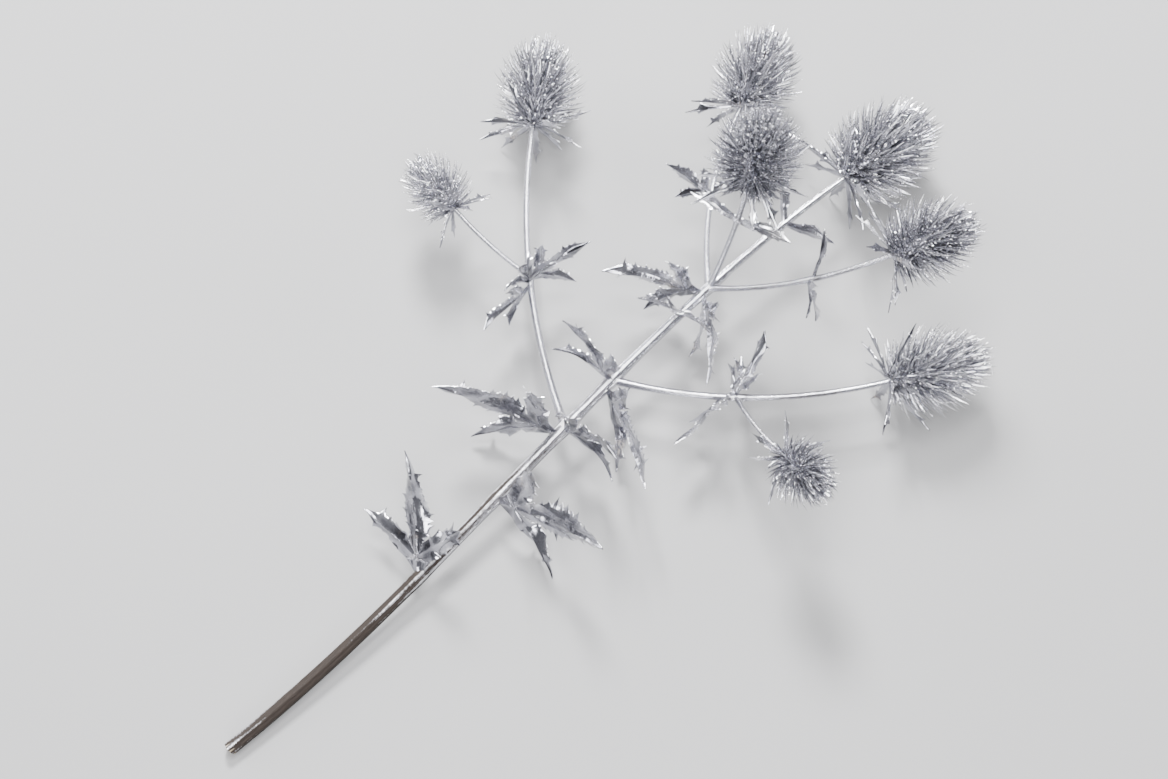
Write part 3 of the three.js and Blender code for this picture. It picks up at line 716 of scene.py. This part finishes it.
def shares_of_radius(points):
    """How far each point is from the nearest shoot's axis, as a share of the radius there."""
    best = np.full(len(points), np.inf)
    share = np.zeros(len(points))
    for name, shoot in SHOOTS.items():
        count = round(shoot["length"] / SKELETON_STEP)
        for i in range(count + 1):
            t = i / count
            centre, along, _, _ = shoot_frame(name, t)
            offset = points - centre
            out = np.linalg.norm(offset - np.outer(offset @ along, along), axis=1)
            gap = np.linalg.norm(offset, axis=1)
            closer = gap < best
            best[closer] = gap[closer]
            share[closer] = out[closer] / shoot_radius(name, t)
    return share


def add_stem(material):
    points, faces = united_shoots()
    share = shares_of_radius(points)
    rib = np.clip((share - (1 - RIB - STRIA)) / (2 * (RIB + STRIA)), 0, 1)
    thin = 1 - np.clip((points[:, 1] - BARE_FROM) / (BARE_TO - BARE_FROM), 0, 1)
    centre, along, _, up = shoot_frame("main", 0)
    offset = points - centre
    reach = np.linalg.norm(offset, axis=1) / shoot_radius("main", 0)
    above_cut = np.abs(offset @ along + CUT_SLANT * (offset @ up))
    cut = (above_cut < CUT_FLATNESS) & (reach < 1)
    layers = {"rib": np.where(cut, reach, rib), "thin": thin, "cut": cut}
    add_piece("stem_wood", "stem", "stem", points, faces, material, layers)


# ---- Toothed blades

class Sheet:
    """A sheet of cells in its own XY plane, whose points are shared where they coincide."""

    def __init__(self, hub_height):
        self.hub_height = hub_height
        self.points = []
        self.known = {}
        self.cells = []
        self.layers = {"edge": [], "veins": [], "depth": [], "across": [], "out": []}

    def add(self, point, *values):
        """Adds a point with its edge, veins, depth, across and out values."""
        key = tuple(round(c, 3) for c in point)
        if key not in self.known:
            self.known[key] = len(self.points)
            self.points.append(point)
            for layer, value in zip(self.layers.values(), values):
                layer.append(value)
        return self.known[key]

    def add_cells(self, rows, side):
        """Adds the cells between rows of points that run from the rib to one side."""
        for low, high in zip(rows, rows[1:]):
            for j in range(len(low) - 1):
                corners = (low[j], low[j + 1], high[j + 1], high[j])[::side]
                kept = [c for i, c in enumerate(corners) if c != corners[i - 1]]
                if len(kept) > 2:
                    self.cells.append(tuple(kept))


def curve_between(first, bend, last, count):
    """Points after the first one on a quadratic curve."""
    shares = [(i + 1) / count for i in range(count)]
    return [(1 - s) ** 2 * first + 2 * s * (1 - s) * bend + s * s * last for s in shares]


def body_width(lobe, out):
    """Half the width of a lobe without its teeth, at a distance from the hub."""
    last = NOTCHED_SHARE * lobe["length"]
    share = min(1.0, max(0.0, (out - lobe["sinus"]) / (last - lobe["sinus"])))
    wave = sin(pi * (WIDTH_START + WIDTH_SPAN * share))
    return lobe["width"] / 2 * wave ** WIDTH_BLUNTNESS


def lobe_outline(lobe, side, sinus_point):
    """The edge of one side of a lobe from its sinus to its tip, as rows of (across, out, lift,
    vein). Across is positive on this side, and a vein runs to the point of each tooth."""
    steps, sinus, length, width = lobe["steps"], lobe["sinus"], lobe["length"], lobe["width"]

    def out_at(step):
        return sinus + (NOTCHED_SHARE * length - sinus) * step / steps

    def notch_width(step):
        return body_width(lobe, out_at(step))

    rows = []
    here = np.array(sinus_point)
    for k in range(steps):
        size = lobe["tooth"] * (FIRST_TOOTH if k == 0 else 1)
        sign = -1 if (k + (side > 0)) % 2 else 1
        reach = max(notch_width(k + 1), width * NARROWEST) + size
        far = np.array([notch_width(k + 1), out_at(k + 1)])
        middle = lerp(here, far, 0.5)
        stops = (
            (middle + (MINOR_TOOTH * size, -MINOR_BACK * length), middle, -sign * MINOR_TOOTH),
            (np.array([reach, out_at(k + TOOTH_FORWARD)]), far, sign),
        )
        for tip, notch, bend_up in stops:
            belly = lerp(here, notch, BELLY[0]) + (BELLY[1] * (tip[0] - notch[0]), 0.0)
            hollow = lerp(tip, notch, HOLLOW[0]) + (-HOLLOW[1] * size, 0.0)
            rising = curve_between(here, belly, tip, RISING_ROWS)
            falling = curve_between(tip, hollow, notch, FALLING_ROWS)
            for i, place in enumerate(rising + falling):
                vein = bell(i - (RISING_ROWS - 1), VEIN_REACH)
                rows.append((*place, bend_up * TOOTH_LIFT, vein))
            here = notch
    point = np.array([0.0, length])
    shoulder = np.array([lobe["point"] * here[0], lerp(here[1], length, SHOULDER)])
    for place in curve_between(here, shoulder, point, TIP_ROWS):
        rows.append((*place, 0.0, 0.0))
    return rows


def lobe_centres(lobe):
    """Places along the rib, one for each row of the outline."""
    steps, sinus, length = lobe["steps"], lobe["sinus"], lobe["length"]
    toothed = 2 * steps * (RISING_ROWS + FALLING_ROWS)
    notched = NOTCHED_SHARE * length
    centres = [lerp(sinus, notched, (i + 1) / toothed) for i in range(toothed)]
    return centres + [lerp(notched, length, (i + 1) / TIP_ROWS) for i in range(TIP_ROWS)]


def crumpled(across, out, phase):
    """A smooth uneven height between about -1 and 1: folds along the blade, and wide dents."""
    fold_share, fold_rate = LONG_FOLDS
    wander, wander_rate = FOLD_WANDER
    dent_share, along_rate, across_rate = DENTS
    swerve = wander * sin(wander_rate * out + phase)
    folds = sin(fold_rate * across + swerve + 2 * phase)
    dents = sin(along_rate * out - across_rate * across + 3 * phase)
    return fold_share * folds + dent_share * dents


def lobe_surface(sheet, lobe, across, out, share, lift, vein):
    """Adds one point of a lobe. Share is 0 at the rib and 1 at the edge."""
    free = max(0.0, out - lobe["sinus"])
    run = free / lobe["length"]
    side_bend = lobe["sweep"] * lobe["length"] * run * run
    flat = out - free + free * cos(lobe["rise"])
    turn = lobe["twist"] * run
    bent = sqrt(across * across + FOLD_ROUNDING) - sqrt(FOLD_ROUNDING)
    fold = lobe["fold"] * bent * min(1.0, free / FOLD_START)
    broad = 2 * across / lobe["width"]
    swing = WAVE_TURN * run + lobe["phase"] + (WAVE_SHIFT if across > 0 else 0)
    wave = lobe["wave"] * broad * broad * sin(swing) * min(1.0, free / WAVE_START)
    x_local = across * cos(turn) + side_bend
    height = free * sin(lobe["rise"]) + lobe["droop"] * run * run + fold + wave
    height += across * sin(turn) + lift * max(0.0, abs(across) - body_width(lobe, out))
    uneven = crumpled(across, out, lobe["phase"])
    height += lobe["crumple"] * uneven * min(1.0, free / CRUMPLE_START)
    fading = min(1.0, RIB_FADE * (1 - run))
    groove = bell(across, GROOVE_REACH) * fading
    veined = min(1.0, groove + vein * share * (1 - share))
    cos_angle, sin_angle = cos(lobe["angle"]), sin(lobe["angle"])
    point = (
        x_local * cos_angle + flat * sin_angle,
        sheet.hub_height - x_local * sin_angle + flat * cos_angle,
        height - GROOVE_DEPTH * groove,
    )
    depth = EDGE_THICKNESS + RIB_THICKNESS * bell(across, RIB_REACH) * fading
    return sheet.add(point, share, veined, depth, across + CREASES_APART * lobe["angle"], out)


def add_lobe(sheet, lobe, sinuses):
    """Adds a lobe. Sinuses are the places of its two sinus points from the hub, as
    (radius, angle), on its left and on its right."""
    sector = np.arange(SECTOR_ROWS + 1) / SECTOR_ROWS
    centres = [lobe["sinus"] * f for f in sector] + lobe_centres(lobe)
    for side, (radius, angle) in zip((-1, 1), sinuses):
        apart = abs(angle - lobe["angle"])
        sinus_point = (radius * sin(apart), radius * cos(apart))
        edge = [(f * sinus_point[0], f * sinus_point[1], 0.0, 0.0) for f in sector]
        edge += lobe_outline(lobe, side, sinus_point)
        rows = []
        for centre, (across, out, lift, vein) in zip(centres, edge):
            row = []
            for j in range(HALF_COLUMNS + 1):
                share = j / HALF_COLUMNS
                place = lerp(centre, out, share ** COLUMN_BUNCHING)
                x = side * across * share
                row.append(lobe_surface(sheet, lobe, x, place, share, lift, vein))
            rows.append(row)
        sheet.add_cells(rows, side)


def own_bends(relief, size, draw):
    """What differs from one lobe to the next, for a head or a leaf of this size."""
    return {
        **relief, "sweep": SWEEP * (draw() - 0.5), "twist": relief["twist"] * (draw() - 0.5),
        "wave": relief["wave"] * size, "phase": PHASES * draw(),
    }


def thickened(sheet):
    """Points, faces and layers of the sheet with its underside and its rim."""
    top = np.array(sheet.points)
    depth = np.array(sheet.layers["depth"])
    count = len(top)
    points = np.concatenate([top, top - np.outer(depth, SKY)])
    faces = list(sheet.cells) + [tuple(c + count for c in cell[::-1]) for cell in sheet.cells]
    edges = {(cell[i - 1], c) for cell in sheet.cells for i, c in enumerate(cell)}
    for a, b in edges:
        if (b, a) not in edges:
            faces.append((a, a + count, b + count, b))
    layers = {
        **{name: sheet.layers[name] * 2 for name in ("edge", "veins", "across", "out")},
        "under": [0.0] * count + [1.0] * count,
    }
    return points, faces, layers


# ---- Collar

def bract_plan(scale, seed):
    """The bracts round a head, as in the CAD, with small bends of their own."""
    draw, quirk = seeded_draw(seed * PLAN_SEED), seeded_draw(seed * QUIRK_SEED)
    count = SMALL_BRACT_COUNT if scale < SMALL_SCALE else BRACT_COUNT
    plan = []
    for i in range(count):
        upright = i % 4 == 2
        kind = UPRIGHT_BRACT if upright else SPREAD_BRACT
        angle = tau * (i + BRACT_SCATTER * (draw() - 0.5)) / count
        rise = lerp(*kind["rise"], draw()) * DEGREE
        length = BRACT_LENGTH * scale * lerp(*kind["reach"], draw())
        plan.append({
            "angle": angle, "rise": rise, "length": length, "upright": upright,
            "width": BRACT_WIDTH * scale, "tooth": BRACT_TOOTH * scale, "steps": 1 if i % 2 else 2,
            "sinus": COLLAR_SINUS * scale, "droop": kind["droop"], "fold": BRACT_FOLD,
            **own_bends(BRACT_RELIEF, scale, quirk),
        })
    return plan


def head_axes(shoot, roll):
    """The end of a shoot, and a matrix whose columns are the axes of what it carries."""
    point, along, side, up = shoot_frame(shoot, 1)
    turn = roll * DEGREE
    x_axis = side * cos(turn) - up * sin(turn)
    z_axis = side * sin(turn) + up * cos(turn)
    return point, np.column_stack([x_axis, along, z_axis])


def add_collar(shoot, material):
    scale, _, _, roll, seed, _, _ = HEADS[shoot]
    plan = bract_plan(scale, seed)
    angles = [bract["angle"] for bract in plan]
    before = [angles[-1] - tau] + angles[:-1]
    middles = [(a + b) / 2 for a, b in zip(before, angles)]
    middles.append(middles[0] + tau)
    sheet = Sheet(0.0)
    for i, bract in enumerate(plan):
        radius = bract["sinus"]
        add_lobe(sheet, bract, ((radius, middles[i]), (radius, middles[i + 1])))
    points, faces, layers = thickened(sheet)
    upright_points = np.column_stack([points[:, 0], points[:, 2] + COLLAR_LIFT, -points[:, 1]])
    origin, axes = head_axes(shoot, roll)
    placed = origin + upright_points @ axes.T
    add_piece(f"bracts_{shoot}", f"collar_{shoot}", "bracts", placed, faces, material, layers)


# ---- Flower head

def round_axis(radius, height, turn):
    """Places or directions round the axis of a head, which is its Y axis."""
    return np.column_stack([radius * np.sin(turn), height, radius * np.cos(turn)])


def spread_on_core(count, scale, slender):
    """Feet spread over the core along a golden spiral, with their share of its length."""
    share = (np.arange(count) + 0.5) / count
    radius = CORE_RADIUS * scale * np.sin(np.arccos(1 - 2 * share)) ** CORE_ROUNDING
    turn = np.arange(count) * GOLDEN_ANGLE
    feet = round_axis(radius, CORE_LENGTH * scale * slender * share, turn)
    return feet, share, turn


def spine_axes(directions, turn, random):
    """Sideways and inward axes of each spine, a little twisted."""
    tangent = np.column_stack([np.cos(turn), np.zeros(len(turn)), -np.sin(turn)])
    side = unit(tangent - directions * np.sum(tangent * directions, axis=1, keepdims=True))
    inner = np.cross(directions, side)
    twist = random.normal(0, SPINE_TWIST, len(turn))[:, None]
    twisted = side * np.cos(twist) + inner * np.sin(twist)
    return twisted, inner * np.cos(twist) - side * np.sin(twist)


def spine_mesh(feet, directions, lengths, turn, random, scale, width):
    """Channelled lance-shaped spines with barbs: four points a row, one at the tip, and four
    points for each barb."""
    count = len(feet)
    side, inner = spine_axes(directions, turn, random)
    bend = -inner * (lengths * random.uniform(0.0, SPINE_BOW, count))[:, None]
    bend += side * (lengths * random.normal(0, SPINE_SWERVE, count))[:, None]
    breadth = width * random.uniform(*SPINE_WIDTHS, count)
    body = 4 * SPINE_ROWS + 1
    size = body + 8 * len(BARB_PLACES)
    points = np.zeros((count, size, 3))
    height = np.zeros((count, size))

    def centre_at(v):
        return feet + directions * (lengths * v)[:, None] + bend * (4 * v * (1 - v))

    def half_at(v):
        widening = SPINE_FOOT + (1 - SPINE_FOOT) * min(1.0, v / SPINE_WAIST)
        return breadth / 2 * (1 - v ** SPINE_TAPER) * widening

    for row in range(SPINE_ROWS):
        v = row / SPINE_ROWS
        at = 4 * row
        centre, half = centre_at(v), half_at(v)[:, None]
        deep = inner * (SPINE_THICKNESS * (1 - SPINE_THINNING * v))
        points[:, at] = centre - side * half + inner * half * SPINE_FOLD
        points[:, at + 1] = centre - deep
        points[:, at + 2] = centre + side * half + inner * half * SPINE_FOLD
        points[:, at + 3] = centre + deep * CHANNEL_FLOOR
        height[:, at:at + 4] = v
    points[:, body - 1] = feet + directions * lengths[:, None]
    height[:, body - 1] = 1
    for i, v in enumerate(BARB_PLACES):
        for j, sign in enumerate((-1, 1)):
            at = body + 8 * i + 4 * j
            half = half_at(v)[:, None] * BARB_ROOT * sign
            raised = inner * half_at(v)[:, None] * SPINE_FOLD * BARB_ROOT
            root = centre_at(v) + side * half + raised
            reach = (BARB_LENGTH * scale * random.uniform(*BARB_LENGTHS, count))[:, None]
            out = directions * cos(BARB_SPREAD) + side * sign * sin(BARB_SPREAD)
            points[:, at] = root - directions * BARB_FOOT * scale
            points[:, at + 1] = root + directions * BARB_FOOT * scale
            points[:, at + 2] = root - inner * BARB_THICKNESS * sign
            points[:, at + 3] = root + (out + inner * BARB_LIFT) * reach
            height[:, at:at + 4] = (v, v, v, min(1.0, v + BARB_TIP_PAINTED_GLINT))
    tone = np.repeat(random.uniform(0, 1, count)[:, None], size, axis=1)
    # Painted glints: these barbs take the brightest tone
    painted_glints = random.uniform(0, 1, (count, 2 * len(BARB_PLACES))) > DULL_BARBS
    tone[:, body:] = np.repeat(painted_glints, 4, axis=1)
    faces = repeated(spine_pattern(), size, count)
    return points.reshape(-1, 3), faces, height.ravel(), tone.ravel()


def spine_pattern():
    """Faces of one spine and its barbs, which are closed three-sided slivers."""
    *faces, foot, last = lathe_faces(SPINE_ROWS, 4)
    tip = 4 * SPINE_ROWS
    faces += [(last[j], last[(j + 1) % 4], tip) for j in range(4)]
    faces.append(foot)
    for i in range(2 * len(BARB_PLACES)):
        a, b, c, end = range(tip + 1 + 4 * i, tip + 5 + 4 * i)
        faces += [(a, c, b), (a, b, end), (b, c, end), (c, a, end)]
    return faces


def repeated(pattern, size, count):
    return [tuple(size * i + c for c in face) for i in range(count) for face in pattern]


def bud_mesh(feet, directions, lengths, random, width):
    """Blunt buds between the spines: a foot, a ring at the widest place, and a tip."""
    count = len(feet)
    side = unit(np.cross(directions, OFF_SKY))
    other = np.cross(directions, side)
    size = BUD_SIDES + 2
    points = np.zeros((count, size, 3))
    points[:, 0] = feet
    points[:, -1] = feet + directions * lengths[:, None]
    phase = random.uniform(0, tau, count)
    for j in range(BUD_SIDES):
        angle = phase + tau * j / BUD_SIDES
        spoke = side * np.cos(angle)[:, None] + other * np.sin(angle)[:, None]
        points[:, j + 1] = feet + directions * (lengths - BUD_CAP)[:, None] + spoke * width / 2
    ring = [(1 + j, 1 + (j + 1) % BUD_SIDES) for j in range(BUD_SIDES)]
    pattern = [(0, b, a) for a, b in ring] + [(a, b, BUD_SIDES + 1) for a, b in ring]
    foot, widest, tip = BUD_HEIGHTS
    height = np.tile([foot] + [widest] * BUD_SIDES + [tip], count)
    tone = np.repeat(random.uniform(0, 1, count), size)
    return points.reshape(-1, 3), repeated(pattern, size, count), height, tone


def core_mesh(scale, slender, random):
    """A lumpy egg under the spines."""
    rings, sides = CORE_MESH
    share = (np.arange(rings) + CORE_START) / rings
    angles = tau * np.arange(sides) / sides
    points = []
    for s in share:
        bulge = sin(acos(1 - 2 * s)) ** CORE_ROUNDING
        radius = CORE_INSET * CORE_RADIUS * scale * bulge
        lumps = radius * (1 + random.uniform(-CORE_LUMPS, CORE_LUMPS, sides))
        level = np.full(sides, CORE_LENGTH * scale * slender * s)
        points.append(round_axis(lumps, level, angles))
    count = rings * sides
    # Height 0 gives the core the painted shade of the spines' roots
    height, tone = np.zeros(count), np.full(count, CORE_TONE)
    return np.concatenate(points), lathe_faces(rings, sides), height, tone


def joined(parts):
    """One list of points and faces, and the layers, out of several."""
    points, face_lists, height, tone = zip(*parts)
    faces = []
    start = 0
    for part, part_faces in zip(points, face_lists):
        faces += [tuple(c + start for c in face) for face in part_faces]
        start += len(part)
    layers = {"height": np.concatenate(height), "tone": np.concatenate(tone)}
    return np.concatenate(points), faces, layers


def clear_of_bracts(feet, directions, lengths, plan):
    """True for the spines that don't run into a bract that rises beside them."""
    clear = np.ones(len(feet), bool)
    for bract in (b for b in plan if b["upright"]):
        radial = np.array([sin(bract["angle"]), 0, -cos(bract["angle"])])
        foot = radial * bract["sinus"]
        out = radial * cos(bract["rise"]) + np.array([0, sin(bract["rise"]), 0])
        for reach in np.linspace(0, 1, CLEARANCE_TESTS):
            centres = feet + directions * (lengths * reach)[:, None] - foot
            along = np.clip(centres @ out, 0, bract["length"] - bract["sinus"])
            clear &= np.linalg.norm(centres - np.outer(along, out), axis=1) > SPINE_CLEARANCE
    return clear


def head_spines(shoot, random):
    """The spines of a head, but for those that a bract is in the way of."""
    scale, slender, core_points, _, seed, breadth, _ = HEADS[shoot]
    feet, share, turn = spread_on_core(round(core_points * SPINES_PER_POINT), scale, slender)
    count = len(feet)
    jitter = SPINE_JITTER * DEGREE
    lean = lerp(*SPINE_LEAN, share ** LEAN_CURVE) * DEGREE + random.uniform(-jitter, jitter, count)
    leaning_to = turn + random.uniform(-jitter, jitter, count)
    directions = round_axis(np.sin(lean), np.cos(lean), leaning_to)
    middling = END_REACH + MIDDLE_REACH * np.sin(pi * share)
    lengths = SPINE_LENGTH * scale * middling * random.uniform(*SPINE_REACH, count)
    clear = clear_of_bracts(feet, directions, lengths, bract_plan(scale, seed))
    kept = [values[clear] for values in (feet, directions, lengths, turn)]
    return spine_mesh(*kept, random, scale, SPINE_WIDTH * scale * breadth)


def head_buds(shoot, random):
    """The buds of a head, which stand up more and more towards its top."""
    scale, slender, core_points, *_ = HEADS[shoot]
    feet, share, turn = spread_on_core(round(core_points * BUDS_PER_POINT), scale, slender)
    count = len(feet)
    lean = lerp(*BUD_LEAN, share) + random.normal(0, BUD_JITTER, count)
    lean = np.clip(lean, 0, MOST_BUD_LEAN) * DEGREE
    lengths = scale * random.uniform(*BUD_LENGTHS, count) * (1 + BUD_GROWTH * share ** 3)
    leaning_to = turn + random.normal(0, BUD_TURN, count)
    directions = round_axis(np.sin(lean), np.cos(lean), leaning_to)
    return bud_mesh(feet, directions, lengths, random, BUD_WIDTH * scale)


def add_head(shoot, material):
    scale, slender, _, roll, seed, _, painted_highlight = HEADS[shoot]
    random = np.random.default_rng(seed)
    spines = head_spines(shoot, random)
    buds = head_buds(shoot, random)
    points, faces, layers = joined([spines, buds, core_mesh(scale, slender, random)])
    # Painted highlight: some heads are painted brighter all over
    layers["tone"] = layers["tone"] + painted_highlight
    origin, axes = head_axes(shoot, roll)
    placed = origin + (points + np.array([0, HEAD_LIFT, 0])) @ axes.T
    add_piece(f"flower_{shoot}", f"head_{shoot}", "flowers", placed, faces, material, layers)


# ---- Leaves

def leaf_lobes(length, droop, lobes, draw):
    """The one lobe or the three lobes of a leaf, from left to right."""

    def lobe(angle, shares, steps):
        reach, width, tooth = shares
        return {
            "angle": angle, "rise": 0.0, "length": reach * length, "width": width * length,
            "tooth": tooth * length, "steps": steps, "sinus": LEAF_SINUS * length,
            "droop": droop, "fold": LEAF_FOLD, **own_bends(LEAF_RELIEF, length, draw),
        }

    if lobes == 1:
        return [lobe(0.0, SINGLE_LOBE, SMALL_LOBE_STEPS)]
    return [
        lobe(-LOBE_SPREAD, SIDE_LOBE, SMALL_LOBE_STEPS),
        lobe(0.0, MIDDLE_LOBE, LONG_LEAF_STEPS if length > LONG_LEAF else LEAF_STEPS),
        lobe(LOBE_SPREAD, SIDE_LOBE, SMALL_LOBE_STEPS),
    ]


def add_stalk(sheet, length, stalk, shoulders):
    """The stretch from the foot to the hub, which meets the outer lobes on their rays."""
    half_foot = min(WIDEST_HALF_FOOT, HALF_FOOT * length)
    for side, (radius, angle) in zip((-1, 1), shoulders):
        rows = []
        for i in range(STALK_ROWS + 1):
            v = i / STALK_ROWS
            row = []
            for j in range(SECTOR_ROWS + 1):
                f = j / SECTOR_ROWS
                top_x, top_y = f * radius * sin(angle), stalk + f * radius * cos(angle)
                x = lerp(side * half_foot * f, top_x, v ** STALK_FLARE)
                y = lerp(0.0, top_y, v)
                groove = bell(x, GROOVE_REACH)
                depth = EDGE_THICKNESS + RIB_THICKNESS * bell(x, RIB_REACH)
                clasp = STALK_CLASP * (1 - v) ** 2 * f * f * half_foot
                point = (x, y, clasp - GROOVE_DEPTH * groove)
                row.append(sheet.add(point, STALK_EDGE * f, groove, depth, x, y - stalk))
            rows.append(row)
        sheet.add_cells(rows, side)


def blade_axes(shoot, at, roll, rise, twist):
    """The foot of a leaf on its shoot's axis, and its axes: across, to the tip and its face."""
    point, along, side, up = shoot_frame(shoot, at)
    roll, rise, twist = roll * DEGREE, rise * DEGREE, twist * DEGREE
    radial = up * cos(roll) + side * sin(roll)
    out = radial * cos(rise) + along * sin(rise)
    face = along * cos(rise) - radial * sin(rise)
    face = face * cos(twist) + np.cross(out, face) * sin(twist)
    return point, np.column_stack([np.cross(out, face), out, face])


def add_leaf(index, material):
    shoot, at, roll, rise, twist, length, droop, lobes = LEAVES[index]
    plan = leaf_lobes(length, droop, lobes, seeded_draw(FIRST_LEAF_SEED + index))
    stalk = LEAF_STALK * length
    sheet = Sheet(stalk)
    shoulder = plan[-1]["angle"] + SHOULDER_SPREAD
    middles = [(a["angle"] + b["angle"]) / 2 for a, b in zip(plan, plan[1:])]
    sinuses = [(LEAF_SHOULDER * length, -shoulder)]
    sinuses += [(LEAF_SINUS * length, angle) for angle in middles]
    sinuses.append((LEAF_SHOULDER * length, shoulder))
    for i, lobe in enumerate(plan):
        add_lobe(sheet, lobe, (sinuses[i], sinuses[i + 1]))
    add_stalk(sheet, length, stalk, (sinuses[0], sinuses[-1]))
    points, faces, layers = thickened(sheet)
    origin, axes = blade_axes(shoot, at, roll, rise, twist)
    placed = origin + points @ axes.T
    name = f"{shoot}_{index + 1}"
    add_piece(f"blade_{name}", f"leaf_{name}", "leaves", placed, faces, material, layers)


# ---- Assembly

def add_floor():
    bpy.ops.mesh.primitive_plane_add(size=FLOOR_SIZE)
    floor = bpy.context.object
    floor.name = "floor"
    floor.data.materials.append(floor_material())


add_camera()
add_light()
add_floor()
add_side_shoots()
OFFSET = frame_offset()
add_stem(stem_material())
flowers = flower_material()
leaves = leaf_material()
for shoot_name in HEADS:
    add_collar(shoot_name, leaves)
    add_head(shoot_name, flowers)
for leaf_index in range(len(LEAVES)):
    add_leaf(leaf_index, leaves)
